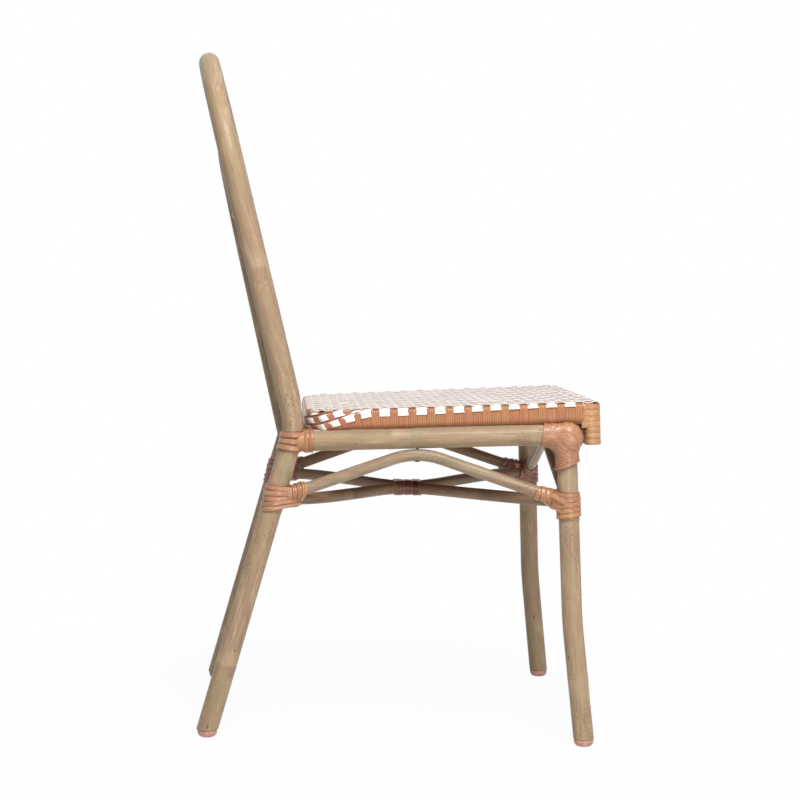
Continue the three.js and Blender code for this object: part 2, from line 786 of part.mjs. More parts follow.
function addSolid(name, solid, material) {
  return addPiece(name, geometryOf(solid), material);
}

function addGlide(name, foot) {
  addPiece(name, glideGeometry(), glidePlastic).position.set(foot.x, foot.y, 0);
}

addSolid('back_hoop_and_rear_legs', hoopSolid(), rattanPole);

const rearCrossbar = tubeSolid(rearCrossbarRoute, crossbarDiameter, tubeSides);
addSolid('rear_crossbar', cutBy(rearCrossbar, [hoopSpace, ...Object.values(frontTubeSpace)]), rattanPole);

const frontArchPlace = screwPlace(0, frontLegPoint(1, frontArchApexZ).y, frontArchApexZ);
const frontArchScrewSpace = screwSpace(frontArchPlace);
const frontCrossbar = tubeSolid(frontCrossbarRoute, crossbarDiameter, tubeSides);
const frontSpaces = Object.values(frontTubeSpace);
addSolid('front_crossbar', cutBy(frontCrossbar, [...frontSpaces, frontArchScrewSpace]), rattanPole);

const frontArch = tubeSolid(frontArchRoute(), archDiameter, slimTubeSides);
addSolid('front_arch', cutBy(frontArch, [...frontSpaces, frontArchScrewSpace]), rattanRod);
addPiece('front_arch_screw', screwGeometry(), screwSteel).position.copy(frontArchPlace);

const innerHoopTube = tubeSolid(innerHoopRoute(), innerHoopDiameter, slimTubeSides);
addSolid('inner_back_hoop', cutBy(innerHoopTube, [rearCrossbarSpace]), rattanPole);

const backBar = tubeSolid(backBarRoute, archDiameter, slimTubeSides);
addSolid('back_lower_bar', cutBy(backBar, [innerHoopSpace]), rattanRod);

const topSpacer = tubeSolid(topSpacerRoute(), archDiameter, slimTubeSides);
addSolid('back_spacer_top', cutBy(topSpacer, [innerHoopSpace, hoopSpace]), rattanRod);

const backPlane = new THREE.Group();
backPlane.position.set(0, innerHoopY(backBarHeight), backBarHeight);
backPlane.rotation.x = Math.PI / 2 - innerHoopLean;
chair.add(backPlane);
addPiece('back_weave_panel', geometryOf(panelSolid()), seatWeave, backPlane);

const seatPlane = new THREE.Group();
const seatUnderside = seatCorner.z + legDiameter / 2 + seatLift;
seatPlane.position.set(0, seatCorner.y, seatUnderside);
seatPlane.rotation.x = -seatTilt;
chair.add(seatPlane);
addPiece('seat_weave_cover', geometryOf(seatCoverSolid()), seatWeave, seatPlane);
addPiece('seat_frame', seatFrameGeometry(), frameWood, seatPlane);
addPiece('seat_slat_front', seatSlatGeometry(seatSlatPlaceShares[0]), frameWood, seatPlane);
addPiece('seat_slat_rear', seatSlatGeometry(seatSlatPlaceShares[1]), frameWood, seatPlane);

const braceSpaces = [];
const archSpaces = {};
for (const [name, side] of Object.entries(sides)) {
  braceSpaces.push(tubeSolid(braceRouteOf(side), archDiameter + 2 * seatingGap, slimTubeSides));
  archSpaces[name] = tubeSolid(sideArchRoute(side), archDiameter + 2 * seatingGap, slimTubeSides);
}
const frontArchSpace = tubeSolid(frontArchRoute(), archDiameter + 2 * seatingGap, slimTubeSides);

for (const [name, side] of Object.entries(sides)) {
  const frontTube = frontTubeRoute(side);
  const arch = sideArchRoute(side);
  const brace = braceRouteOf(side);
  const peak = arch.stations[1 + elbowSteps / 2].point;
  const place = screwPlace(peak.x, peak.y, peak.z);
  const archScrewSpace = screwSpace(place);

  const bore = glideBore(frontLegPoint(side, glideHeight));
  const bentTube = tubeSolid(frontTube, legDiameter, tubeSides);
  const frontTubeCuts = [hoopSpace, floorBlock(), bore, archScrewSpace];
  addSolid(`front_leg_and_rail_${name}`, cutBy(bentTube, frontTubeCuts), rattanPole);

  const legs = [hoopSpace, frontTubeSpace[name]];
  const archTube = tubeSolid(arch, archDiameter, slimTubeSides);
  addSolid(`side_arch_${name}`, cutBy(archTube, [...legs, archScrewSpace]), rattanRod);
  addPiece(`side_arch_screw_${name}`, screwGeometry(), screwSteel).position.copy(place);

  const braceTube = tubeSolid(brace, archDiameter, slimTubeSides);
  addSolid(`brace_${name}`, cutBy(braceTube, [...legs, archSpaces[name], frontArchSpace]), rattanRod);

  const spacer = tubeSolid(sideSpacerRoute(side), archDiameter, slimTubeSides);
  addSolid(`back_spacer_${name}`, cutBy(spacer, [innerHoopSpace, hoopSpace]), rattanRod);

  const rearSpaces = [hoopSpace, frontTubeSpace[name], rearCrossbarSpace, archSpaces[name], ...braceSpaces];
  const railEnd = railPoint(side, rearCrossbarY);
  const railway = directionBetween(railEnd, railPoint(side, seatCorner.y));
  const railSleeve = legDiameter / 2 + sleeveWall;
  const railCollar = taperedCollar(railEnd, railway, rearUpperBinding.collarLength, railSleeve, railSleeve);
  const crossbarEnd = vector(side * hoopHalfWidth, rearCrossbarY, rearCrossbarHeight);
  const crossbarSleeve = crossbarDiameter / 2 + sleeveWall;
  const crossbarLow = rearCrossbarHeight - crossbarDiameter / 2;
  const crossbarCollar = taperedCollar(
    crossbarEnd, vector(-side, 0, 0), rearUpperBinding.collarLength, crossbarSleeve, crossbarSleeve
  );
  addSolid(`rear_upper_binding_${name}`, bindingSolid(
    `rear_upper_binding_${name}`, hoopRoute(side), hoopDiameter, crossbarLow, rearUpperBinding, side,
    [railCollar, crossbarCollar], rearSpaces
  ), bindingStrip);

  addSolid(`rear_lower_binding_${name}`, bindingSolid(
    `rear_lower_binding_${name}`, hoopRoute(side), hoopDiameter, braceEndHeight.rear, rearLowerBinding, side,
    [
      collarOn(arch, false, rearLowerBinding.collarLength, archDiameter),
      collarOn(brace, false, rearLowerBinding.collarLength, archDiameter)
    ], rearSpaces
  ), bindingStrip);

  const frontCuts = [
    frontTubeSpace[name], archSpaces[name], frontArchSpace, frontCrossbarSpace, ...braceSpaces
  ];
  addSolid(`front_lower_binding_${name}`, bindingSolid(
    `front_lower_binding_${name}`, frontTube, legDiameter, braceEndHeight.front, frontLowerBinding, side,
    [
      collarOn(arch, true, frontLowerBinding.collarLength, archDiameter),
      collarOn(brace, true, frontLowerBinding.collarLength, archDiameter),
      collarOn(frontArchRoute(), side < 0, frontLowerBinding.collarLength, archDiameter)
    ], frontCuts
  ), bindingStrip);

  const sleeveStart = lengthWhere(frontTube, 'z', seatCorner.z - cornerSleeve.downLeg);
  const sleeveEnd = lengthWhere(frontTube, 'y', seatCorner.y + cornerSleeve.alongRail);
  const cornerSpan = routeSpan(frontTube, sleeveStart, sleeveEnd);
  const cornerTube = tubeSolid(cornerSpan, legDiameter + 2 * sleeveWall, tubeSides);
  const bulge = new THREE.SphereGeometry(knuckleRadius, slimTubeSides, slimTubeSides / 2);
  const bulgeY = seatCorner.y - knuckleOffset.forward;
  bulge.translate(side * seatCorner.halfWidth, bulgeY, seatCorner.z - knuckleOffset.down);
  addSolid(`front_corner_binding_${name}`, cutBy(cornerTube.add(solidOf(bulge)), frontCuts), bindingStrip);

  addGlide(`glide_front_${name}`, frontLegPoint(side, glideHeight));
  addGlide(`glide_rear_${name}`, rearLegPoint(side, glideHeight));
}

// The strip round both braces where they touch
const waistShape = new THREE.Shape();
const waistRadius = archDiameter / 2 + centreBinding.wall;
waistShape.absarc(braceWaist.x, 0, waistRadius, -Math.PI / 2, Math.PI / 2, false);
waistShape.absarc(-braceWaist.x, 0, waistRadius, Math.PI / 2, 1.5 * Math.PI, false);
const waistGeometry = new THREE.ExtrudeGeometry(waistShape, {
  depth: centreBinding.length,
  curveSegments: roundSteps,
  bevelEnabled: false
});
waistGeometry.rotateX(Math.PI / 2);
waistGeometry.translate(0, braceWaist.y + centreBinding.length / 2, braceWaist.z);
addSolid('centre_binding', cutBy(solidOf(waistGeometry), braceSpaces), bindingStrip);

export default chair;
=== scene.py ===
# Rattan bistro chair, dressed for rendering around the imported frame, in metres
import bisect
import math

import bmesh
import bpy
from mathutils import Matrix, Quaternion, Vector, noise


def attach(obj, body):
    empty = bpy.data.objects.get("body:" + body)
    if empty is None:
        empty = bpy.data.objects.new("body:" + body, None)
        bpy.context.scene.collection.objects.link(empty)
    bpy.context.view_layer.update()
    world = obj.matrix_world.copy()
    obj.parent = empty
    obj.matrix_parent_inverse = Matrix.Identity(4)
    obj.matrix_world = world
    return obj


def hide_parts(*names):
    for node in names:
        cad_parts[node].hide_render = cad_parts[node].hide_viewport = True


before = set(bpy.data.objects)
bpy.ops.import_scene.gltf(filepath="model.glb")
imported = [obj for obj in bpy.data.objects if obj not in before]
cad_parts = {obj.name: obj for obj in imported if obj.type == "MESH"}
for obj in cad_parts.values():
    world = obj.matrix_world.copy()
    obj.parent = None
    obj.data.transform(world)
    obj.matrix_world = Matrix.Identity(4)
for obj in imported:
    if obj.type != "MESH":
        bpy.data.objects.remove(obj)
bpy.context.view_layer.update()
scene = bpy.context.scene

# The chair's own sizes, as the frame has them
chair = {
    "seatLevel": 0.411,
    "frameRear": 0.132,
    "frameDepth": 0.3568,
    "hoopHalfWidth": 0.175,
    "seatFlare": 0.0277,
    "hoopApexHeight": 0.904,
    "hoopCrownFlat": 0.010,
    "hoopLean": math.radians(14.5),
    "rearLegRake": math.radians(15.1),
    "rearElbowRadius": 0.100,
    "rearLegSplay": 0.009,
    "seatCornerRadius": 0.030,
    "railFall": math.radians(2.86),
    "upperLegRake": math.radians(3.1),
    "lowerLegRake": math.radians(6.9),
    "kneeHeight": 0.165,
    "kneeRadius": 0.700,
    "frontLegSplay": 0.0168,
    "glideHeight": 0.010,
    "seatingGap": 0.0003,
}
cane = {"hoop": 0.014, "leg": 0.0135, "crossbar": 0.012, "innerHoop": 0.010, "rod": 0.008}
seatLevel = chair["seatLevel"]
frameRear = chair["frameRear"]
cornerY = frameRear - chair["frameDepth"]
cornerHalfWidth = chair["hoopHalfWidth"] + chair["seatFlare"]
axisX = Vector((1, 0, 0))
axisY = Vector((0, 1, 0))
axisZ = Vector((0, 0, 1))


def alongLine(y, z, lean, targetZ):
    return y + (targetZ - z) * math.tan(lean)


def bentLine(corners, radii, arcStep=0.005):
    points = [corners[0]]
    for i in range(1, len(corners) - 1):
        arriving = (corners[i] - corners[i - 1]).normalized()
        leaving = (corners[i + 1] - corners[i]).normalized()
        turn = arriving.angle(leaving)
        radius = radii[i - 1]
        axis = arriving.cross(leaving).normalized()
        centre = corners[i] + (leaving - arriving).normalized() * radius / math.cos(turn / 2)
        spoke = corners[i] - arriving * radius * math.tan(turn / 2) - centre
        steps = max(6, math.ceil(radius * turn / arcStep))
        points += [Quaternion(axis, turn * k / steps) @ spoke + centre for k in range(steps + 1)]
    return points + [corners[-1]]


class Route:
    # A line with an upward side, on which straight work is bent into place
    def __init__(self, points, up):
        self.points = [Vector(p) for p in points]
        ups = up if isinstance(up, list) else [up] * len(points)
        runs = [b - a for a, b in zip(self.points, self.points[1:])]
        self.lengths = [0.0]
        for run in runs:
            self.lengths.append(self.lengths[-1] + run.length)
        self.total = self.lengths[-1]
        turns = [(a.normalized() + b.normalized()).normalized() for a, b in zip(runs, runs[1:])]
        self.tangents = [runs[0].normalized(), *turns, runs[-1].normalized()]
        self.ups = [(u - t * u.dot(t)).normalized() for u, t in zip(map(Vector, ups), self.tangents)]
        self.known = {}

    def at(self, length):
        key = round(length, 6)
        if key not in self.known:
            i = min(max(bisect.bisect_right(self.lengths, length) - 1, 0), len(self.points) - 2)
            run = self.lengths[i + 1] - self.lengths[i]
            share = (length - self.lengths[i]) / run
            point = self.points[i].lerp(self.points[i + 1], share)
            share = min(max(share, 0), 1)
            tangent = self.tangents[i].lerp(self.tangents[i + 1], share).normalized()
            up = self.ups[i].lerp(self.ups[i + 1], share)
            up = (up - tangent * up.dot(tangent)).normalized()
            self.known[key] = (point, tangent.cross(up), up, tangent)
        return self.known[key]

    def place(self, co):
        point, side, up, tangent = self.at(co.z)
        return point + side * co.x + up * co.y

    def lengthAt(self, axis, value):
        for i in range(1, len(self.points)):
            a, b = self.points[i - 1][axis], self.points[i][axis]
            if min(a, b) <= value <= max(a, b) and a != b:
                share = (value - a) / (b - a)
                return self.lengths[i - 1] + share * (self.lengths[i] - self.lengths[i - 1])
        return self.total


# Centre lines of the canes
def rearLegPoint(side, z):
    share = (seatLevel - z) / (seatLevel - chair["glideHeight"])
    x = chair["hoopHalfWidth"] + share * chair["rearLegSplay"]
    return Vector((side * x, alongLine(frameRear, seatLevel, -chair["rearLegRake"], z), z))


def frontLegPoint(side, z):
    share = (seatLevel - z) / (seatLevel - chair["glideHeight"])
    x = cornerHalfWidth + share * chair["frontLegSplay"]
    knee = chair["kneeHeight"]
    if z > knee:
        return Vector((side * x, alongLine(cornerY, seatLevel, chair["upperLegRake"], z), z))
    kneeY = alongLine(cornerY, seatLevel, chair["upperLegRake"], knee)
    return Vector((side * x, alongLine(kneeY, knee, chair["lowerLegRake"], z), z))


hoopApexY = alongLine(frameRear, seatLevel, chair["hoopLean"], chair["hoopApexHeight"])
hoopHalf = chair["hoopHalfWidth"]
hoopCorner = hoopHalf - chair["hoopCrownFlat"] / 2
hoopFace = Vector((0, math.cos(chair["hoopLean"]), -math.sin(chair["hoopLean"])))
legFootZ = -0.01
hoopRoute = Route(bentLine([
    rearLegPoint(1, legFootZ),
    Vector((hoopHalf, frameRear, seatLevel)),
    Vector((hoopHalf, hoopApexY, chair["hoopApexHeight"])),
    Vector((-hoopHalf, hoopApexY, chair["hoopApexHeight"])),
    Vector((-hoopHalf, frameRear, seatLevel)),
    rearLegPoint(-1, legFootZ),
], [chair["rearElbowRadius"], hoopCorner, hoopCorner, chair["rearElbowRadius"]]), hoopFace)


def legRoute(side):
    # One side of the outer hoop, from its foot up to the apex
    points = [Vector((side * p.x, p.y, p.z)) for p in hoopRoute.points if p.x > 0]
    return Route(points, hoopFace)


rearCrossbarZ = seatLevel - 0.017
frontCrossbarZ = seatLevel - 0.001
upright = legRoute(1)
rearCrossbarY = upright.at(upright.lengthAt(2, rearCrossbarZ))[0].y


def railPoint(side, y):
    share = (y - cornerY) / (rearCrossbarY - cornerY)
    x = cornerHalfWidth + share * (hoopHalf - cornerHalfWidth)
    return Vector((side * x, y, seatLevel - (y - cornerY) * math.tan(chair["railFall"])))


def frontTubeRoute(side):
    corners = [
        frontLegPoint(side, legFootZ),
        frontLegPoint(side, chair["kneeHeight"]),
        Vector((side * cornerHalfWidth, cornerY, seatLevel)),
        railPoint(side, rearCrossbarY),
    ]
    return Route(bentLine(corners, [chair["kneeRadius"], chair["seatCornerRadius"]], 0.003), axisX)


arch = {
    "peakShare": 0.4526,
    "rearRise": math.radians(20.3),
    "frontRise": math.radians(17.8),
    "radius": 0.100,
    "frontArchRise": math.radians(19.8),
    "frontArchRadius": 0.060,
}
archY = frameRear - arch["peakShare"] * chair["frameDepth"]
archDrop = (cane["leg"] + chair["seatingGap"] + cane["rod"]) / math.cos(chair["railFall"])
archTopZ = railPoint(1, archY).z - archDrop


def bowPeak(radius, turn):
    return radius * (1 / math.cos(turn / 2) - 1)


def armReach(toward, legY, rake, peakZ, rise):
    offset = toward * (legY - archY) + (seatLevel - peakZ) * math.tan(rake)
    return offset / (1 - math.tan(rise) * math.tan(rake))


def sideArchRoute(side):
    peakZ = archTopZ + bowPeak(arch["radius"], arch["rearRise"] + arch["frontRise"])
    rearReach = armReach(1, frameRear, chair["rearLegRake"], peakZ, arch["rearRise"])
    frontReach = armReach(-1, cornerY, chair["upperLegRake"], peakZ, arch["frontRise"])
    rear = rearLegPoint(side, peakZ - rearReach * math.tan(arch["rearRise"]))
    front = frontLegPoint(side, peakZ - frontReach * math.tan(arch["frontRise"]))
    share = rearReach / (rearReach + frontReach)
    top = Vector((rear.x + share * (front.x - rear.x), archY, peakZ))
    return Route(bentLine([rear, top, front], [arch["radius"]]), axisX)


frontArchTopZ = frontCrossbarZ - cane["crossbar"] - chair["seatingGap"] - cane["rod"]


def frontArchRoute():
    peakZ = frontArchTopZ + bowPeak(arch["frontArchRadius"], 2 * arch["frontArchRise"])
    endZ = peakZ - cornerHalfWidth * math.tan(arch["frontArchRise"])
    peak = Vector((0, frontLegPoint(1, frontArchTopZ).y, peakZ))
    corners = [frontLegPoint(1, endZ), peak, frontLegPoint(-1, endZ)]
    return Route(bentLine(corners, [arch["frontArchRadius"]]), axisY)


brace = {
    "rearZ": seatLevel - 0.095,
    "frontZ": seatLevel - 0.089,
    "waistShare": 0.454,
    "waistGap": 0.0004,
    "rearShares": [(0.839, 0.698, 0.7), (0.496, 0.416, 0.42), (0.128, 0.16, 0.16)],
    "frontShares": [(0.109, 0.16, 0.08), (0.422, 0.421, 0.42), (0.715, 0.681, 0.75)],
}
waist = Vector((cane["rod"] + brace["waistGap"], frameRear - brace["waistShare"] * chair["frameDepth"],
                brace["rearZ"]))


def smoothLine(points, stepsPerRun=12):
    # Centripetal Catmull-Rom line through the points
    ends = [2 * points[0] - points[1], *points, 2 * points[-1] - points[-2]]
    line = []
    for i in range(1, len(ends) - 2):
        p0, p1, p2, p3 = ends[i - 1:i + 3]
        t1 = (p1 - p0).length ** 0.5
        t2 = t1 + (p2 - p1).length ** 0.5
        t3 = t2 + (p3 - p2).length ** 0.5
        for k in range(stepsPerRun):
            t = t1 + (t2 - t1) * k / stepsPerRun
            a = p0.lerp(p1, t / t1)
            b = p1.lerp(p2, (t - t1) / (t2 - t1))
            c = p2.lerp(p3, (t - t2) / (t3 - t2))
            line.append(a.lerp(b, t / t2).lerp(b.lerp(c, (t - t1) / (t3 - t1)), (t - t1) / (t2 - t1)))
    return line + [points[-1]]


def braceRoute(side):
    rear = rearLegPoint(side, brace["rearZ"])
    front = frontLegPoint(side, brace["frontZ"])
    middle = Vector((side * waist.x, waist.y, waist.z))

    def toward(end, shares):
        return [middle + Vector(s * d for s, d in zip(share, end - middle)) for share in shares]

    points = [rear, *toward(rear, brace["rearShares"]), middle, *toward(front, brace["frontShares"]), front]
    return Route(smoothLine(points), axisZ)


inner = {"inset": 0.045, "topShare": 0.7485, "setbackTop": 0.008, "setbackFoot": 0.016, "crownFlat": 0.008,
         "footRise": 0.006, "barShare": 0.202, "spacerShare": 0.708}
innerHalf = hoopHalf - inner["inset"]
innerTopZ = seatLevel + inner["topShare"] * (chair["hoopApexHeight"] - seatLevel)
innerFootZ = rearCrossbarZ + inner["footRise"]
innerTopY = alongLine(frameRear, seatLevel, chair["hoopLean"], innerTopZ) + inner["setbackTop"]
innerFootY = alongLine(frameRear, seatLevel, chair["hoopLean"], innerFootZ) + inner["setbackFoot"]
innerLean = math.atan2(innerTopY - innerFootY, innerTopZ - innerFootZ)
innerCorner = innerHalf - inner["crownFlat"] / 2
innerFace = Vector((0, math.cos(innerLean), -math.sin(innerLean)))
barZ = rearCrossbarZ + inner["barShare"] * (innerTopZ - rearCrossbarZ)
spacerZ = barZ + inner["spacerShare"] * (innerTopZ - barZ)


def innerY(z):
    return alongLine(innerTopY, innerTopZ, innerLean, z)


innerRoute = Route(bentLine([
    Vector((innerHalf, innerFootY, innerFootZ)),
    Vector((innerHalf, innerTopY, innerTopZ)),
    Vector((-innerHalf, innerTopY, innerTopZ)),
    Vector((-innerHalf, innerFootY, innerFootZ)),
], [innerCorner, innerCorner]), innerFace)


def barRoute(halfWidth, y, z):
    return Route([Vector((-halfWidth, y, z)), Vector((halfWidth, y, z))], axisZ)


def spacerRoute(side):
    outerY = alongLine(frameRear, seatLevel, chair["hoopLean"], spacerZ)
    ends = [Vector((side * innerHalf, innerY(spacerZ), spacerZ)), Vector((side * hoopHalf, outerY, spacerZ))]
    return Route(ends, axisZ)


# Straight stock, which is bent onto the routes
def caneStock(radius, length, step=0.006, segments=28, rim=0.0012):
    bm = bmesh.new()
    shift = Matrix.Translation((0, 0, length / 2))
    bmesh.ops.create_cone(bm, cap_ends=True, segments=segments, radius1=radius, radius2=radius,
                          depth=length, matrix=shift)
    rims = [e for e in bm.edges if abs(e.verts[0].co.z - e.verts[1].co.z) < radius / 2]
    bmesh.ops.bevel(bm, geom=rims, offset=rim, affect="EDGES", segments=2, profile=0.5, material=-1)
    runs = [e for e in bm.edges if e.calc_length() > length / 2]
    bmesh.ops.subdivide_edges(bm, edges=runs, cuts=max(1, round(length / step)), use_grid_fill=True)
    return bm


stripRounding = 0.45


def stripStock(width, thickness, length, step):
    bm = bmesh.new()
    size = Matrix.Diagonal((width, thickness, length, 1))
    bmesh.ops.create_cube(bm, size=1, matrix=Matrix.Translation((0, 0, length / 2)) @ size)
    runs = [e for e in bm.edges if e.calc_length() > length * 0.99]
    bmesh.ops.bevel(bm, geom=runs, offset=thickness * stripRounding, affect="EDGES", segments=2, profile=0.5,
                    material=-1)
    runs = [e for e in bm.edges if e.calc_length() > length * 0.99]
    bmesh.ops.subdivide_edges(bm, edges=runs, cuts=max(1, round(length / step)), use_grid_fill=True)
    return bm


def ridgedStock(width, ridges, height, length, step):
    # Several round strands lying side by side, as one ribbon with a flat back
    bm = bmesh.new()
    across = ridges * 3
    shape = Matrix.Translation((0, 0, length / 2)) @ Matrix.Rotation(math.pi / 2, 4, "X")
    size = Matrix.Diagonal((width / 2, length / 2, 1, 1))
    bmesh.ops.create_grid(bm, x_segments=across, y_segments=max(1, round(length / step)), size=1,
                          matrix=shape @ size)
    border = [e for e in bm.edges if e.is_boundary]
    shell = bmesh.ops.extrude_edge_only(bm, edges=border)["geom"]
    low = [v for v in shell if isinstance(v, bmesh.types.BMVert)]
    bmesh.ops.translate(bm, verts=low, vec=(0, -height * 0.6, 0))
    lowered = set(low)
    for vert in bm.verts:
        if vert not in lowered:
            place = (vert.co.x / width + 0.5) * ridges
            vert.co.y += height * math.sin(math.pi * (place % 1)) ** 0.7 if place % 1 > 0.01 else 0
    bmesh.ops.holes_fill(bm, edges=[e for e in bm.edges if e.is_boundary])
    return bm


def stock(bm):
    mesh = bpy.data.meshes.new("stock")
    bm.to_mesh(mesh)
    bm.free()
    return mesh


class Work:
    # A piece in the making: straight stock is laid into it and bent, and keeps its grain
    def __init__(self):
        self.bm = bmesh.new()
        self.bm.verts.layers.float_vector.new("grain")
        self.count = 0

    def lay(self, template, place, start=0.0, seed=None, shift=0.0, sideShare=1.0):
        self.count += 1
        seed = self.count if seed is None else seed
        before = len(self.bm.verts)
        self.bm.from_mesh(template)
        self.bm.verts.ensure_lookup_table()
        grain = self.bm.verts.layers.float_vector["grain"]
        for i in range(before, len(self.bm.verts)):
            vert = self.bm.verts[i]
            straight = vert.co.copy()
            straight.z += start
            vert.co = place(straight)
            vert[grain] = (straight.x * sideShare, straight.y * sideShare + seed, straight.z + shift)


def finishPiece(work, name, material, nodes=(), sharp=40):
    bm = work.bm
    bmesh.ops.recalc_face_normals(bm, faces=bm.faces)
    mesh = bpy.data.meshes.new(name)
    bm.to_mesh(mesh)
    bm.free()
    mesh.shade_smooth()
    mesh.set_sharp_from_angle(angle=math.radians(sharp))
    mesh.materials.append(material)
    piece = bpy.data.objects.new(name, mesh)
    scene.collection.objects.link(piece)
    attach(piece, "root")
    if nodes:
        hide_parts(*nodes)
    return piece


# Materials
def srgb(red, green, blue):
    def linear(value):
        value /= 255
        return value / 12.92 if value <= 0.04045 else ((value + 0.055) / 1.055) ** 2.4
    return (linear(red), linear(green), linear(blue), 1)


class Shader:
    def __init__(self, name):
        self.material = bpy.data.materials.new(name)
        self.material.use_nodes = True
        self.tree = self.material.node_tree
        self.tree.nodes.clear()
        self.output = self.tree.nodes.new("ShaderNodeOutputMaterial")
        self.surface = self.tree.nodes.new("ShaderNodeBsdfPrincipled")
        self.link(self.surface.outputs["BSDF"], self.output.inputs["Surface"])

    def link(self, source, target):
        self.tree.links.new(source, target)

    def node(self, kind, inputs=None, **settings):
        made = self.tree.nodes.new("ShaderNode" + kind)
        for key, value in settings.items():
            setattr(made, key, value)
        for key, value in (inputs or {}).items():
            if isinstance(value, bpy.types.NodeSocket):
                self.link(value, made.inputs[key])
            else:
                made.inputs[key].default_value = value
        return made

    def grain(self, scale):
        source = self.node("Attribute", attribute_name="grain").outputs["Vector"]
        return self.node("Mapping", {"Vector": source, "Scale": scale}).outputs["Vector"]

    def noise(self, vector, scale=1.0, detail=3.0, roughness=0.55, distortion=0.0):
        made = self.node("TexNoise", {"Vector": vector, "Scale": scale, "Detail": detail,
                                      "Roughness": roughness, "Distortion": distortion})
        return made.outputs["Fac"]

    def ramp(self, factor, stops):
        made = self.node("ValToRGB", {"Fac": factor})
        elements = made.color_ramp.elements
        while len(elements) < len(stops):
            elements.new(0.5)
        for element, (place, colour) in zip(elements, stops):
            element.position = place
            element.color = colour if len(colour) == 4 else (*colour, 1)
        return made.outputs["Color"]

    def level(self, factor, low, high, lowTo=0.0, highTo=1.0):
        made = self.node("MapRange", {"Value": factor, "From Min": low, "From Max": high,
                                      "To Min": lowTo, "To Max": highTo})
        return made.outputs["Result"]

    def sum(self, kind, a, b):
        return self.node("Math", {0: a, 1: b}, operation=kind).outputs["Value"]

    def mix(self, factor, a, b):
        made = self.node("Mix", {"Factor": factor}, data_type="RGBA")
        for socket, value in ((made.inputs[6], a), (made.inputs[7], b)):
            if isinstance(value, bpy.types.NodeSocket):
                self.link(value, socket)
            else:
                socket.default_value = value
        return made.outputs[2]

    def finish(self, colour, roughness, height, depth, **settings):
        self.link(colour, self.surface.inputs["Base Color"])
        if isinstance(roughness, bpy.types.NodeSocket):
            self.link(roughness, self.surface.inputs["Roughness"])
        else:
            self.surface.inputs["Roughness"].default_value = roughness
        bump = self.node("Bump", {"Height": height, "Distance": depth, "Strength": 1.0})
        self.link(bump.outputs["Normal"], self.surface.inputs["Normal"])
        for key, value in settings.items():
            self.surface.inputs[key.replace("_", " ")].default_value = value
        return self.material


# Length of cane from one node to the next
caneNode = 0.27


def caneMaterial(name, base, pale, green, rosy, dark):
    s = Shader(name)
    fibres = s.noise(s.grain((1300, 1300, 16)), 1.0, 4.0, 0.62)
    cracks = s.noise(s.grain((420, 420, 9)), 1.0, 2.0, 0.5, 0.4)
    patches = s.noise(s.grain((75, 75, 14)), 1.0, 3.0, 0.6, 0.6)
    blush = s.noise(s.grain((90, 90, 19)), 1.0, 3.0, 0.6, 1.2)
    specks = s.noise(s.grain((760, 760, 430)), 1.0, 2.0, 0.6)
    zones = s.noise(s.grain((45, 45, 22)), 1.0, 2.0, 0.5)
    knots = s.node("TexVoronoi", {"Vector": s.grain((55, 55, 26)), "Scale": 1.0}).outputs["Distance"]
    colour = s.ramp(patches, [(0.34, green), (0.46, base), (0.54, base), (0.65, pale)])
    colour = s.mix(s.level(blush, 0.49, 0.62, 0, 0.9), colour, rosy)
    colour = s.mix(s.level(cracks, 0.66, 0.74, 0, 0.6), colour, dark)
    colour = s.mix(s.level(fibres, 0.48, 0.80, 0, 0.6), colour, dark)
    spotted = s.sum("MULTIPLY", s.level(specks, 0.54, 0.62), s.level(zones, 0.52, 0.62, 0.05, 0.7))
    colour = s.mix(spotted, colour, dark)
    along = s.node("SeparateXYZ", {"Vector": s.grain((1, 1, 1))}).outputs["Z"]
    stretch = s.sum("ADD", s.sum("DIVIDE", along, caneNode), 0.5)
    turn = s.sum("SUBTRACT", s.sum("FRACT", stretch, 0.0), 0.5)
    fromNode = s.sum("ADD", turn, s.sum("MULTIPLY", s.sum("SUBTRACT", patches, 0.5), 0.02))
    # The cane is paler just below a node
    below = s.sum("MULTIPLY", s.level(fromNode, -0.10, -0.03), s.level(fromNode, 0.008, -0.008))
    colour = s.mix(s.sum("MULTIPLY", below, s.level(zones, 0.40, 0.55, 0.0, 0.6)), colour, pale)
    colour = s.mix(s.level(knots, 0.05, 0.10, 0.8, 0.0), colour, dark)
    rough = s.level(fibres, 0.3, 0.7, 0.36, 0.52)
    height = s.sum("ADD", s.sum("MULTIPLY", fibres, -1.0), s.sum("MULTIPLY", cracks, -1.0))
    return s.finish(colour, rough, height, 0.0003, Specular_IOR_Level=0.26, Coat_Weight=0.1,
                    Coat_Roughness=0.14)


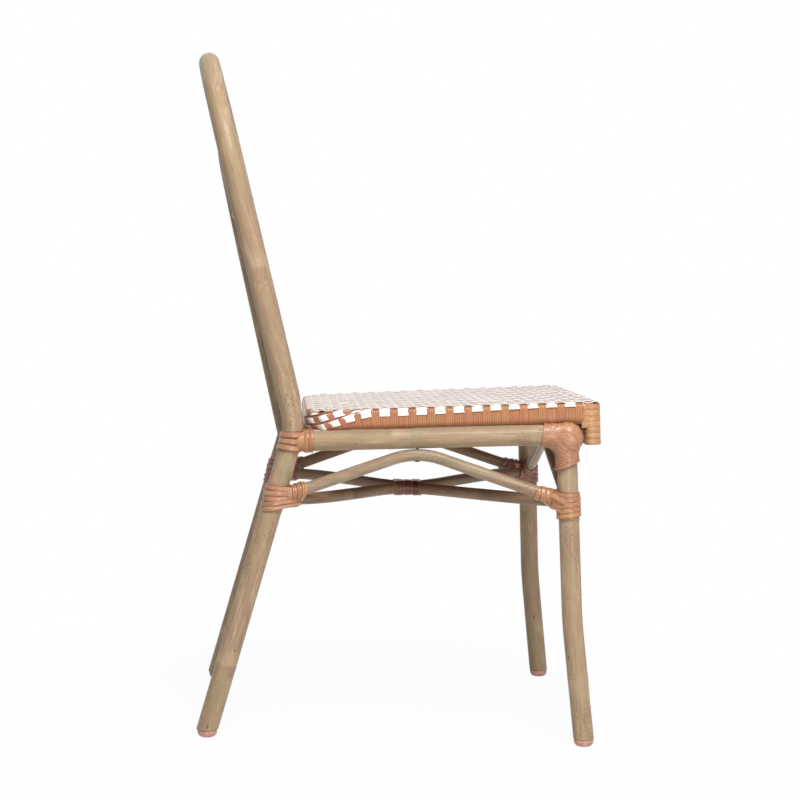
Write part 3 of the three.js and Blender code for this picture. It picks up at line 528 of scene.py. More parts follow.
def strandMaterial(name, tints, halfWidth, dark, rough=0.42, fibre=1500, streakTo=0.5, edgeShadeTo=0.55,
                   floatLength=None, edgeShadeFrom=0.74):
    # Each strip has a tint of its own; with a float length, so has each stretch between two crossings.
    # Toward its edges each strip is darkened as painted shade in the gaps between strips.
    s = Shader(name)
    parts = s.node("SeparateXYZ", {"Vector": s.grain((1, 1, 1))})
    strand = s.sum("FLOOR", s.sum("ADD", parts.outputs["Y"], 0.5), 0.0)
    mark = strand
    if floatLength:
        run = s.sum("DIVIDE", parts.outputs["Z"], floatLength)
        cell = s.sum("FLOOR", s.sum("ADD", run, 0.5), 0.0)
        mark = s.sum("ADD", s.sum("MULTIPLY", strand, 17.3), s.sum("MULTIPLY", cell, 5.37))
    chance = s.node("TexWhiteNoise", {"W": mark}, noise_dimensions="1D").outputs["Value"]
    drift = s.noise(s.grain((90, 1, 22)), 1.0, 2.0, 0.6)
    shift = s.sum("ADD", s.sum("MULTIPLY", chance, 0.76), s.level(drift, 0.3, 0.7, -0.12, 0.36))
    # With a float length, every other pair of floats is shifted toward the darker tints as painted shade
    # between rows, and each float's own brightness is painted as the light it would catch
    if floatLength:
        pairs = s.sum("FLOOR", s.sum("MULTIPLY", strand, 0.5), 0.0)
        turn = s.sum("MODULO", s.sum("ADD", s.sum("ADD", pairs, cell), 400.0), 2.0)
        shift = s.sum("ADD", s.sum("MULTIPLY", shift, 0.5), s.sum("MULTIPLY", turn, 0.46))
    colour = s.ramp(shift, tints)
    fibres = s.noise(s.grain((fibre, 1, 18)), 1.0, 4.0, 0.6)
    colour = s.mix(s.level(fibres, 0.5, 0.8, 0, streakTo), colour, dark)
    # Painted shade: each strip darkens toward its edges, where the gaps between strips lie in shadow
    edge = s.level(s.sum("ABSOLUTE", parts.outputs["X"], 0.0), halfWidth * edgeShadeFrom, halfWidth, 0, edgeShadeTo)
    colour = s.mix(edge, colour, dark)
    return s.finish(colour, rough, fibres, 0.00018, Specular_IOR_Level=0.45, Coat_Weight=0.3,
                    Coat_Roughness=0.2)


poleMaterial = caneMaterial("naturalPole", srgb(168, 144, 112), srgb(186, 160, 129), srgb(152, 140, 104),
                            srgb(164, 132, 108), srgb(98, 72, 52))
rodMaterial = caneMaterial("naturalRod", srgb(164, 142, 116), srgb(184, 163, 138), srgb(150, 136, 108),
                           srgb(156, 126, 104), srgb(86, 64, 48))
# A darker copy of the rod material, as painted shade on canes under the seat
paintedShadeRodMaterial = caneMaterial("paintedShadeRod", srgb(136, 110, 84), srgb(154, 128, 100), srgb(122, 104, 78),
                             srgb(132, 98, 76), srgb(70, 46, 34))
tanTints = [(0.0, srgb(166, 114, 74)), (0.35, srgb(184, 136, 90)), (0.65, srgb(166, 110, 80)),
            (1.0, srgb(196, 150, 106))]
bindingMaterial = strandMaterial("bindingStrip", tanTints, 0.0034, srgb(92, 50, 32), 0.38, edgeShadeTo=0.75)
cornerTints = [(0.0, srgb(168, 114, 80)), (0.35, srgb(184, 134, 94)), (0.65, srgb(170, 114, 84)),
               (1.0, srgb(196, 150, 110))]
cornerMaterial = strandMaterial("cornerStrip", cornerTints, 0.0034, srgb(104, 60, 42), 0.42, edgeShadeTo=0.6)
seatTints = [(0.0, srgb(162, 102, 68)), (0.25, srgb(178, 118, 76)), (0.5, srgb(168, 118, 70)),
             (0.75, srgb(174, 104, 76)), (1.0, srgb(184, 130, 86))]
tanWeaveMaterial = strandMaterial("tanWeave", seatTints, 0.0059, srgb(96, 50, 32), 0.38, 1300, 0.5, 0.15)
# The darker end of these pale tints is painted shade, used for every other pair of floats
whiteAndShadeTints = [(0.0, srgb(255, 255, 252)), (0.42, srgb(255, 253, 248)), (0.6, srgb(234, 221, 214)),
              (1.0, srgb(202, 184, 177))]
whiteWeaveMaterial = strandMaterial("whiteWeave", whiteAndShadeTints, 0.0056, srgb(118, 90, 80), 0.4, 1500, 0.12,
                                    0.55, 0.0122145, 0.93)
whiteEdgeTints = [(0.0, srgb(255, 255, 252)), (1.0, srgb(246, 240, 234))]
whiteEdgeMaterial = strandMaterial("whiteEdge", whiteEdgeTints, 0.0056, srgb(140, 114, 104), 0.4, 1500,
                                   0.12, 0.3)
apronTints = [(0.0, srgb(180, 130, 84)), (0.4, srgb(198, 149, 101)), (0.7, srgb(179, 130, 90)),
              (1.0, srgb(210, 165, 119))]
apronMaterial = strandMaterial("apronStrip", apronTints, 0.0044, srgb(104, 62, 40))
# The left arch and its bindings get darker tints: painted shade, for the side that the seat keeps in shadow
leftShadeTints = [(0.0, srgb(124, 72, 56)), (0.4, srgb(150, 98, 74)), (0.7, srgb(130, 74, 64)),
             (1.0, srgb(168, 118, 88))]
leftShadedBindingMaterial = strandMaterial("farShadedStrip", leftShadeTints, 0.0034, srgb(66, 32, 26), 0.42, edgeShadeTo=0.75)
waistTints = [(0.0, srgb(80, 36, 32)), (0.5, srgb(104, 50, 38)), (1.0, srgb(132, 78, 50))]
waistMaterial = strandMaterial("darkStrip", waistTints, 0.0034, srgb(52, 28, 24))
print("materials made")


# Canes, each a straight stick with faint swellings at its nodes, bent to its route
def caneStick(work, route, radius, seed, firstNode):
    def place(co):
        ring = (co.z - firstNode + caneNode / 2) % caneNode - caneNode / 2
        swell = 1 + 0.020 * math.exp(-(ring / 0.005) ** 2)
        swell += 0.012 * noise.noise(Vector((co.x * 40, co.y * 40, co.z * 12 + seed * 7)))
        return route.place(Vector((co.x * swell, co.y * swell, co.z)))

    work.lay(stock(caneStock(radius, route.total)), place, 0, seed, -firstNode)


def footCut(work):
    # Legs are cut level on top of their glides
    bm = work.bm
    level = chair["glideHeight"] + chair["seatingGap"]
    geom = [*bm.verts, *bm.edges, *bm.faces]
    bmesh.ops.bisect_plane(bm, geom=geom, plane_co=(0, 0, level), plane_no=(0, 0, -1), clear_outer=True)
    bmesh.ops.holes_fill(bm, edges=[e for e in bm.edges if e.is_boundary])


def makeCane(name, route, radius, seed, material, node, cutFoot=False, firstNode=None):
    work = Work()
    firstNode = seed * 0.071 if firstNode is None else firstNode
    caneStick(work, route, radius, seed, firstNode)
    if cutFoot:
        footCut(work)
    return finishPiece(work, name, material, [node])


sides = {"Left": 1, "Right": -1}
legNodeZ = 0.3575
legNode = hoopRoute.total - legRoute(1).lengthAt(2, legNodeZ)
makeCane("outerHoop", hoopRoute, cane["hoop"], 1, poleMaterial, "back_hoop_and_rear_legs",
         True, legNode)
makeCane("innerHoop", innerRoute, cane["innerHoop"], 2, poleMaterial, "inner_back_hoop")
makeCane("rearCrossbar", barRoute(hoopHalf, rearCrossbarY, rearCrossbarZ), cane["crossbar"], 3,
         poleMaterial, "rear_crossbar")
makeCane("frontCrossbar", barRoute(cornerHalfWidth, cornerY, frontCrossbarZ), cane["crossbar"], 4,
         poleMaterial, "front_crossbar")
makeCane("frontArch", frontArchRoute(), cane["rod"], 5, rodMaterial, "front_arch")
makeCane("backLowerBar", barRoute(innerHalf, innerY(barZ), barZ), cane["rod"], 6, rodMaterial,
         "back_lower_bar")
spacerEnds = [Vector((0, innerTopY, innerTopZ)), Vector((0, hoopApexY, chair["hoopApexHeight"]))]
topSpacer = Route(spacerEnds, axisX)
makeCane("backSpacerTop", topSpacer, cane["rod"], 7, rodMaterial, "back_spacer_top")
for sideName, side in sides.items():
    low = sideName.lower()
    makeCane("frontLegAndRail" + sideName, frontTubeRoute(side), cane["leg"], 10 + side, poleMaterial,
             "front_leg_and_rail_" + low, True)
    # The left arch takes the darker rod material, as painted shade
    archMaterial = rodMaterial if side < 0 else paintedShadeRodMaterial
    makeCane("sideArch" + sideName, sideArchRoute(side), cane["rod"], 14 + side, archMaterial,
             "side_arch_" + low)
    # Both braces take the darker copy: painted shade under the seat
    makeCane("brace" + sideName, braceRoute(side), cane["rod"], 18 + side, paintedShadeRodMaterial,
             "brace_" + low)
    makeCane("backSpacer" + sideName, spacerRoute(side), cane["rod"], 22 + side, rodMaterial,
             "back_spacer_" + low)
print("canes made")

# Seat: cross groups of round strands over and under pale long strips, on its tilted plane
seat = {
    "tilt": math.radians(3.2),
    "lift": 0.0023,
    "thickness": 0.027,
    "frontY": -0.0471,
    "rearY": 0.34545,
    "frontHalfWidth": 0.206,
    "rearHalfWidth": 0.178,
    "frontRadius": 0.014,
    "rearRadius": 0.048,
    "apronDepth": 0.022,
    "cell": 0.0122145,
    "firstCell": -0.00567,
    "columns": 16,
    "wave": 0.0007,
    "topRound": 0.0055,
    "lowRound": 0.0062,
    "hang": 0.0013,
    "hangFront": 1.85,
    "hangLoss": 4.5,
    "rowHeight": 0.0210,
    "rowWidth": 0.0108,
    "rowSink": 0.0012,
    "rowStep": 0.0100,
    "rowFall": 0.23,
    "rowFallFrom": -0.040,
    "rowFallLimit": 0.020,
    "rowRise": 0.0032,
    "rowRiseTo": 0.250,
    "rowNarrow": 0.33,
    "rowPinch": 0.32,
    "rowLonger": 0.2,
    "rowLift": 0.0003,
    "rowOver": 0.0006,
    "rowUnder": 0.0018,
    "groupTuck": 0.0009,
    "groupTuckRun": 0.006,
    "lean": 0.72,
    "leanFrom": 0.005,
    "leanBefore": 0.045,
    "leanPast": 0.05,
    "leanRun": 0.07,
    "edgeReach": 0.012,
    "groupWidth": 0.01222,
    "ridges": 4,
    "ridgeHeight": 0.0006,
    "stripThickness": 0.0010,
    "stripWidth": 0.0112,
    "stripPitch": 0.0122,
    "stripMargin": 0.003,
}
seatUnderside = seatLevel + cane["leg"] + seat["lift"]
seatPlace = Matrix.Translation((0, cornerY, seatUnderside)) @ Matrix.Rotation(-seat["tilt"], 4, "X")
seatTop = seat["thickness"] - 0.0016
skinInset = 0.0012


def seatHalf(y):
    share = (y - seat["frontY"]) / (seat["rearY"] - seat["frontY"])
    return seat["frontHalfWidth"] + share * (seat["rearHalfWidth"] - seat["frontHalfWidth"])


def quarter(steps, first=0):
    # Angles that divide a quarter turn
    return [math.pi / 2 * k / steps for k in range(first, steps + 1)]


def roundedWave(phase):
    c = math.cos(math.pi * phase)
    return c * (1.5 - 0.5 * c * c)


def edgeLine():
    # The section of the seat's edge: over the top, round it, down the wall and under, as (inset, height)
    top, reach, r = seatTop, seat["edgeReach"], seat["topRound"]
    points = [(reach, top)]
    points += [(r - r * math.sin(a), top - r + r * math.cos(a)) for a in quarter(5)]
    q = seat["lowRound"]
    low = -seat["hang"]
    points += [(q - q * math.cos(a), low + q - q * math.sin(a)) for a in quarter(4)]
    return points + [(reach, low)]


def smooth(share):
    share = min(max(share, 0), 1)
    return share * share * (3 - 2 * share)


def rowBump(run, centre):
    return smooth((1.08 - abs(run - centre) / (seat["cell"] / 2)) / 0.2)


# The wall of the seat, walked from the front of one side round the back to the other
def wallLine():
    y0 = seat["frontY"] + seat["apronDepth"] + 0.001
    back = seat["rearY"] - seat["rearRadius"]
    corner = Vector((seatHalf(back), back, 0))
    start = Vector((seatHalf(y0), y0, 0))
    r = seat["rearRadius"]
    points = [start, corner]
    points += [corner + Vector((r * math.cos(a) - r, r * math.sin(a), 0)) for a in quarter(14, 1)]
    points += [Vector((-p.x, p.y, 0)) for p in reversed(points)]
    return points


wallRoute = Route(wallLine(), axisZ)
wallRoute.ups = [t.cross(axisZ) for t in wallRoute.tangents]
wallCornerStart = wallRoute.lengths[1]
wallCornerEnd = wallRoute.lengths[15]
wallFar = wallRoute.total
seatEdge = edgeLine()
edgeRoute = Route([Vector((inset, z, 0)) for inset, z in seatEdge], axisZ)
rowRun = edgeRoute.lengthAt(1, seat["rowHeight"])
lastSideGroup = math.floor((seat["rearY"] - seat["rearRadius"] - seat["firstCell"]) / seat["cell"])
wallJoin = wallRoute.lengthAt(1, seat["firstCell"] + (lastSideGroup + 0.5) * seat["cell"])
cornerGroups = 2 * round((wallFar - 2 * wallJoin) / seat["cell"] / 2)
rearCell = (wallFar - 2 * wallJoin) / cornerGroups


def sideRun(y):
    # Where a place on a straight side lies along the wall
    first, second = wallRoute.points[0], wallRoute.points[1]
    return (y - first.y) / (second.y - first.y) * wallCornerStart


def strandLean(s):
    # How far forward the strands go on their way down, round the rear corners
    s = min(s, wallFar - s) - wallCornerStart
    begin, run = -seat["leanBefore"], seat["leanRun"]
    end = wallCornerEnd - wallCornerStart + seat["leanPast"]
    return seat["lean"] * smooth((s - begin) / run) * smooth((end - s) / run)


def rowRise(s):
    # Toward the front the pale strips narrow and climb over the edge
    return smooth(1.08 - min(s, wallFar - s) / seat["rowRiseTo"])


def rowAt(row, s):
    # How far over the edge a pale strip lies: they all run down round the rear corners
    rise = seat["rowRise"] * rowRise(s)
    s = min(s, wallFar - s) - wallCornerStart - seat["rowFallFrom"]
    limit = seat["rowFallLimit"]
    fall = seat["rowFall"] * max(s, 0)
    if fall >= limit * 0.8:
        fall = limit - limit * 0.2 * math.exp((limit * 0.8 - fall) / (limit * 0.2))
    return rowRun - row * seat["rowStep"] + fall - rise


def rowWave(row, s):
    # Above 0 where a pale strip passes over the cross groups
    if wallJoin <= s <= wallFar - wallJoin:
        phase, sign = (s - wallJoin) / rearCell - 0.5, 1
    else:
        phase = (wallRoute.at(s)[0].y - seat["firstCell"]) / seat["cell"]
        sign = -1 if s < wallFar / 2 else 1
    return sign * (1 if row % 2 == 0 else -1) * roundedWave(phase)


def rowsOver(s, run):
    # How deep a cross group lies below the pale strips that pass over it
    return seat["rowSink"] * max(rowBump(run, rowAt(row, s)) * smooth((rowWave(row, s) + 0.45) / 0.3)
                                 for row in range(3))


def hung(z, y):
    # The strands hang down to the rails, which fall less toward the rear than the seat does
    return z * (seat["hangFront"] - seat["hangLoss"] * y) if z < 0 else z


def wallPlace(s, t, h):
    # s along the wall, t down over its edge, h outward
    section, dSide, dUp, dTangent = edgeRoute.at(t)
    normal = Vector((dTangent.y, -dTangent.x, 0))
    toward = 1 if s > wallFar / 2 else -1
    drop = (seatTop - section.y - seat["leanFrom"]) * (1 - smooth(normal.y * 2))
    point, side, out, tangent = wallRoute.at(s + toward * strandLean(s) * drop)
    inset = section.x + skinInset + normal.x * h
    return seatPlace @ (point - out * inset + axisZ * (hung(section.y, point.y) + normal.y * h))


def topWave(x, y, group):
    # How far a cross group lies above the middle of the weave: it is under where a pale strip is over
    pitch = (seatHalf(y) - seat["stripMargin"]) / seat["columns"]
    sign = 1 if group % 2 == 0 else -1
    return sign * seat["wave"] * roundedWave(x / pitch - 0.5)


def groupHalf(y):
    # Half the width of the weave, following the seat's round corners
    for turn, radius in ((seat["rearY"] - seat["rearRadius"], seat["rearRadius"]),
                         (seat["frontY"] + seat["frontRadius"], seat["frontRadius"])):
        if (y > turn) == (turn > 0.1) and y != turn:
            depth = radius - skinInset
            return seatHalf(turn) - radius + math.sqrt(max(depth ** 2 - (y - turn) ** 2, 0))
    return seatHalf(y) - skinInset


def crossGroup(work, group):
    y = seat["firstCell"] + seat["cell"] * group
    full = y > seat["frontY"] + seat["apronDepth"] + 0.003 and y < seat["rearY"] - seat["rearRadius"]
    half = groupHalf(y)
    edge = seatEdge if full else seatEdge[:5]
    line = [Vector((-half + inset, 0, z)) for inset, z in reversed(edge)]
    line += [Vector((half - inset, 0, z)) for inset, z in edge]
    route = Route(line, [Vector((0, 0, 1))] * len(line))
    # The upward side turns with the line, so it is worked out from the tangent here
    route.ups = [Vector((-t.z, 0, t.x)) for t in route.tangents]

    def place(co):
        point, side, up, tangent = route.at(co.z)
        lift = topWave(point.x, y, group) if up.z > 0.8 else 0.0
        along = y + co.x
        point = Vector((point.x * groupHalf(along) / half, 0, hung(point.z, along)))
        if full:
            run = min(co.z, route.total - co.z)
            wallRun = sideRun(along)
            s = wallRun if point.x > 0 else wallFar - wallRun
            lift -= rowsOver(s, edgeRoute.total - run) * smooth((0.9 - abs(up.z)) / 0.3)
            along -= strandLean(wallRun) * (seatTop - point.z - seat["leanFrom"]) * (1 - smooth(up.z * 2))
        return seatPlace @ (point + Vector((0, along, 0)) + up * (co.y + lift))

    template = ridgedStock(seat["groupWidth"], seat["ridges"], seat["ridgeHeight"], route.total, 0.0041)
    work.lay(stock(template), place, 0, group * 3)


groups = Work()
firstGroup = math.ceil((seat["frontY"] + 0.006 - seat["firstCell"]) / seat["cell"])
lastGroup = math.floor((seat["rearY"] - 0.006 - seat["firstCell"]) / seat["cell"])
for group in range(firstGroup, lastGroup + 1):
    crossGroup(groups, group)
seatGroups = finishPiece(groups, "seatCrossGroups", tanWeaveMaterial, ["seat_weave_cover"], 50)
print("seat groups", len(seatGroups.data.polygons))


def longStrip(work, column):
    # A pale strip from the front edge to the back, over and under the cross groups
    share = (column + 0.5) / seat["columns"]

    def xAt(y):
        return share * (seatHalf(y) - seat["stripMargin"])

    def reachAt(x, radius, edgeY, inward):
        depth = abs(x) - (seatHalf(edgeY + inward * radius) - radius)
        return edgeY + inward * (radius - math.sqrt(max(radius ** 2 - max(depth, 0) ** 2, 0)))

    rear = reachAt(xAt(seat["rearY"] - 0.02), seat["rearRadius"], seat["rearY"], -1)
    front = reachAt(xAt(seat["frontY"]), seat["frontRadius"], seat["frontY"], 1)
    r = seat["topRound"]
    bend = quarter(4)[:4]
    y0, y1 = front + skinInset, rear - skinInset
    line = [Vector((0, y0 + r - r * math.sin(a), seatTop - r + r * math.cos(a))) for a in bend[::-1]]
    line += [Vector((0, y1 - r + r * math.sin(a), seatTop - r + r * math.cos(a))) for a in bend]
    route = Route(line, axisZ)
    route.ups = [Vector((0, -t.z, t.y)) for t in route.tangents]

    def place(co):
        point, side, up, tangent = route.at(co.z)
        phase = (point.y - seat["firstCell"]) / seat["cell"]
        sign = -1 if column % 2 == 0 else 1
        lift = 0.0005 + sign * seat["wave"] * 1.25 * roundedWave(phase) if up.z > 0.8 else 0.0004
        pitch = (seatHalf(point.y) - seat["stripMargin"]) / seat["columns"]
        x = xAt(point.y) + co.x * pitch / seat["stripPitch"]
        return seatPlace @ (Vector((x, point.y, point.z)) + up * (co.y + lift))

    template = stripStock(seat["stripWidth"], seat["stripThickness"], route.total, 0.0031)
    work.lay(stock(template), place, 0, column + 40, y0 - seat["firstCell"] - 0.0017)


strips = Work()
for column in range(-seat["columns"], seat["columns"]):
    longStrip(strips, column)
seatStrips = finishPiece(strips, "seatLongStrips", whiteWeaveMaterial, ["seat_weave_cover"])
print("seat strips", len(seatStrips.data.polygons))


wall = Work()
for i in range(cornerGroups):
    centre = wallJoin + (i + 0.5) * rearCell

    def groupPlace(co, centre=centre):
        s = centre + co.x * rearCell / seat["cell"]
        tuck = seat["groupTuck"] * (1 - smooth(co.z / seat["groupTuckRun"] - 1))
        return wallPlace(s, co.z, co.y - rowsOver(s, co.z) - tuck)

    template = ridgedStock(seat["groupWidth"], seat["ridges"], seat["ridgeHeight"], edgeRoute.total, 0.0031)
    wall.lay(stock(template), groupPlace, 0, i * 3 + 200)
finishPiece(wall, "seatWallGroups", tanWeaveMaterial, ["seat_weave_cover"], 50)

rows = Work()
for row, first in enumerate((0.0, wallCornerStart - 0.030, wallCornerStart + 0.016)):

    def rowPlace(co, row=row):
        s = co.z
        over = rowWave(row, s) + seat["rowLonger"]
        lift = seat["rowLift"] + (seat["rowOver"] if over > 0 else seat["rowUnder"]) * over
        narrowing = 1 - seat["rowPinch"] * strandLean(s) / seat["lean"] - seat["rowNarrow"] * rowRise(s)
        return wallPlace(s, rowAt(row, s) - co.x * narrowing, co.y + lift)

    template = stripStock(seat["rowWidth"], seat["stripThickness"], wallFar - 2 * first, 0.003)
    rows.lay(stock(template), rowPlace, first, 80 + row)
finishPiece(rows, "seatWallStrips", whiteEdgeMaterial, ["seat_weave_cover"])

# Apron bands, wound round the deep front of the seat
apron = {"bands": 7, "width": 0.0079, "thickness": 0.0016, "rearRadius": 0.005, "top": 0.0235,
         "bottom": -0.031, "liningWidth": 0.012, "liningThickness": 0.0008, "liningInset": 0.0016,
         "liningReach": 0.009, "liningFoot": 0.0170, "liningRise": 0.0062}


def apronLoop(closed):
    y0, r = seat["frontY"] + skinInset, seat["frontRadius"] - skinInset
    yr = seat["frontY"] + seat["apronDepth"] - skinInset
    q = apron["rearRadius"]
    half = seatHalf(y0 + r) - skinInset
    right = []
    if closed:
        rearHalf = seatHalf(yr) - skinInset
        right += [Vector((0, yr, 0)), Vector((rearHalf - q, yr, 0))]
        right += [Vector((rearHalf - q + q * math.sin(a), yr - q + q * math.cos(a), 0))
                  for a in quarter(5, 1)]
    else:
        right += [Vector((seatHalf(yr + 0.006) - skinInset - 0.0015, yr + 0.006, 0))]
    right += [Vector((half - r + r * math.cos(a), y0 + r - r * math.sin(a), 0)) for a in quarter(8)]
    left = [Vector((-p.x, p.y, 0)) for p in reversed(right)]
    return right + left


bands = Work()
pitch = (apron["top"] - apron["bottom"]) / apron["bands"]
for i in range(apron["bands"]):
    z = apron["bottom"] + (i + 0.5) * pitch
    closed = z < -pitch / 2
    route = Route(apronLoop(closed), axisZ)
    route.ups = [Vector((-t.y, t.x, 0)) * -1 for t in route.tangents]

    def bandPlace(co, route=route, z=z):
        point, side, up, tangent = route.at(co.z)
        wobble = 0.0003 * math.sin(co.z * 60 + z * 900)
        return seatPlace @ (point + up * co.y + axisZ * (z + co.x + wobble))

    template = stripStock(apron["width"], apron["thickness"], route.total, 0.004)
    bands.lay(stock(template), bandPlace, 0, i)

# A lining behind the top band, under the front ends of the long strips
route = Route(apronLoop(False), axisZ)
route.ups = [Vector((t.y, -t.x, 0)) for t in route.tangents]


def liningPlace(co):
    point, side, up, tangent = route.at(co.z)
    share = co.x / apron["liningWidth"] + 0.5
    inset = apron["liningInset"] + apron["liningReach"] * share
    height = apron["liningFoot"] + apron["liningRise"] * share
    return seatPlace @ (point + up * (inset + co.y) + axisZ * height)


template = stripStock(apron["liningWidth"], apron["liningThickness"], route.total, 0.004)
bands.lay(stock(template), liningPlace, 0, 11)
finishPiece(bands, "seatApronBands", apronMaterial, ["seat_weave_cover"])
print("seat made")

# Woven back panel, in the leaning plane of the inner hoop
panel = {"cell": 0.0122, "strip": 0.0110, "thickness": 0.0012, "wave": 0.0009, "ridgeHeight": 0.0007,
         "lap": 0.003, "footLap": 0.002}
panelPlace = Matrix.Translation((0, innerY(barZ), barZ)) @ Matrix.Rotation(math.pi / 2 - innerLean, 4, "X")
panelHalf = innerHalf - cane["innerHoop"] + panel["lap"]
panelRadius = innerCorner - cane["innerHoop"] + panel["lap"]
panelTop = (innerTopZ - barZ) / math.cos(innerLean) - cane["innerHoop"] + panel["lap"]
panelLow = cane["rod"] - panel["footLap"]


def panelReach(across, limit, other):
    # How far the panel reaches at a place across it, with its two round upper corners
    depth = abs(across) - (limit - panelRadius)
    return other - panelRadius + math.sqrt(max(panelRadius ** 2 - max(depth, 0) ** 2, 0))


panelColumns = int(panelHalf / panel["cell"])
panelRows = int((panelTop - panelLow) / panel["cell"])
uprights = Work()
for column in range(-panelColumns, panelColumns + 1):
    x = column * panel["cell"]
    top = panelReach(x, panelHalf, panelTop)

    def uprightPlace(co, x=x, column=column):
        phase = (co.z - panelLow) / panel["cell"] - 0.5
        lift = panel["wave"] * roundedWave(phase) * (1 if column % 2 == 0 else -1)
        return panelPlace @ Vector((x + co.x, co.z, co.y + lift))

    template = stripStock(panel["strip"], panel["thickness"], top - panelLow, 0.003)
    uprights.lay(stock(template), uprightPlace, panelLow, column + 300)
finishPiece(uprights, "backUprightStrips", whiteWeaveMaterial, ["back_weave_panel"])
levels = Work()
for row in range(panelRows):
    z = panelLow + (row + 0.5) * panel["cell"]
    half = panelHalf
    if z > panelTop - panelRadius:
        depth = z - panelTop + panelRadius
        half = panelHalf - panelRadius + math.sqrt(max(panelRadius ** 2 - depth ** 2, 0))
    if half < 0.02:
        continue

    def levelPlace(co, z=z, row=row):
        phase = co.z / panel["cell"]
        lift = -panel["wave"] * roundedWave(phase) * (1 if row % 2 == 0 else -1)
        return panelPlace @ Vector((co.z, z - co.x, co.y + lift))

    template = ridgedStock(panel["cell"], seat["ridges"], panel["ridgeHeight"], 2 * half, 0.003)
    levels.lay(stock(template), levelPlace, -half, row * 3 + 400)
finishPiece(levels, "backCrossGroups", tanWeaveMaterial, ["back_weave_panel"], 50)


# Strips wound round the canes
class Skin:
    # The surface of a cane, filled out to a given body where there is one
    def __init__(self, route, radius, depth=None):
        self.route, self.radius, self.depth = route, radius, depth

    def spot(self, length, angle, lift=0.0):
        point, side, up, tangent = self.route.at(length)
        out = side * math.cos(angle) + up * math.sin(angle)
        radius = self.radius
        if self.depth and self.depth(point + out * radius) < 0:
            near, far = radius, radius + 0.030
            for step in range(14):
                middle = (near + far) / 2
                if self.depth(point + out * middle) < 0:
                    near = middle
                else:
                    far = middle
            radius = (radius ** 8 + near ** 8) ** (1 / 8) if near > radius else radius
        return point + out * (radius + lift)

    def at(self, length, angle):
        along = self.spot(length + 0.0008, angle) - self.spot(length - 0.0008, angle)
        across = self.spot(length, angle + 0.06) - self.spot(length, angle - 0.06)
        normal = along.cross(across).normalized()
        spot = self.spot(length, angle)
        return spot, normal if normal.dot(spot - self.route.at(length)[0]) > 0 else -normal


def layStrip(work, points, ups, width, thickness, seed=None, tilt=0.0, widths=None, step=0.0035):
    line = Route(points, ups)

    def place(co):
        x = co.x
        if widths:
            x *= widths[bisect.bisect_left(line.lengths, co.z, 0, len(widths) - 1)] / width
        return line.place(Vector((x, co.y + x * tilt, co.z)))

    work.lay(stock(stripStock(width, thickness, line.total, step)), place, 0, seed)


def windStrip(work, skin, start, turns, pitch, handed=1, width=0.0068, thickness=0.0017, phase=0.0,
              seed=None, tilt=0.0):
    # A strip in a helix round a cane
    points, ups = [], []
    count = max(6, round(abs(turns) * 26))
    for i in range(count + 1):
        angle = handed * 2 * math.pi * turns * i / count + phase
        spot, out = skin.at(start + pitch * turns * i / count, angle)
        points.append(spot + out * thickness / 2)
        ups.append(out)
    layStrip(work, points, ups, width, thickness, seed, tilt)


def beltStrip(work, c1, r1, c2, r2, across, width=0.0068, thickness=0.0017, seed=None, tilt=0.0):
    # A strip drawn tight round two canes that meet
    run = c2 - c1
    along = run.normalized()
    sideways = (across - along * across.dot(along)).normalized()
    alpha = math.acos(min(max((r1 - r2) / run.length, -1), 1))
    points, ups = [], []
    steps = 14
    for centre, radius, first, last in ((c1, r1, alpha, 2 * math.pi - alpha), (c2, r2, -alpha, alpha)):
        for k in range(steps + 1):
            angle = first + (last - first) * k / steps
            out = along * math.cos(angle) + sideways * math.sin(angle)
            points.append(centre + out * (radius + thickness / 2))
            ups.append(out)
    for k in range(2):
        points.append(points[k] + ups[k] * thickness * 0.3 * (k + 1))
        ups.append(ups[k])
    layStrip(work, points, ups, width, thickness, seed, tilt)


def sleeve(work, skin, start, length, seed, slant=None):
    # Plain underlay that keeps the canes from showing between the strips
    def place(co):
        angle = math.atan2(co.y, co.x)
        inward = min(math.hypot(co.x, co.y) - skin.radius, 0)
        s = co.z + (slant(co.z, angle) if slant else 0)
        return skin.spot(s, angle, inward)

    template = caneStock(skin.radius, length, 0.003, 36, 0.0006)
    work.lay(stock(template), place, start, seed, sideShare=0.19)


# How far sleeves and strips stand off a cane
sleeveLift = 0.0006
stripLift = 0.0004

upperBinding = {
    "footZ": 0.3812,
    "length": 0.0265,
    "legWind": {"turns": 3, "pitch": 0.0088, "width": 0.0090, "tilt": 0.09},
    "collar": (0.008, 0.0215),
    "collarWind": {"start": 0.0165, "turns": 2.0, "pitch": 0.0062, "width": 0.0060, "tilt": 0.08},
}


def makeUpperBinding(sideName, side):
    work = Work()

    def collar(line, radius, handed, seed):
        sleeve(work, Skin(line, radius + sleeveLift), *upperBinding["collar"], seed)
        windStrip(work, Skin(line, radius + stripLift), handed=handed, **upperBinding["collarWind"])

    leg = legRoute(side)
    start = leg.lengthAt(2, upperBinding["footZ"])
    inward = math.pi if side < 0 else 0
    sleeve(work, Skin(leg, cane["hoop"] + sleeveLift), start, upperBinding["length"], 500)
    windStrip(work, Skin(leg, cane["hoop"] + stripLift), start, handed=side, phase=inward,
              **upperBinding["legWind"])
    collar(Route([railPoint(side, rearCrossbarY), railPoint(side, cornerY)], axisX), cane["leg"], -side, 501)
    barEnd = Vector((side * hoopHalf, rearCrossbarY, rearCrossbarZ))
    bar = Route([barEnd, Vector((0, rearCrossbarY, rearCrossbarZ))], axisZ)
    collar(bar, cane["crossbar"], side, 502)
    finishPiece(work, "rearUpperBinding" + sideName, bindingMaterial,
                ["rear_upper_binding_" + sideName.lower()])


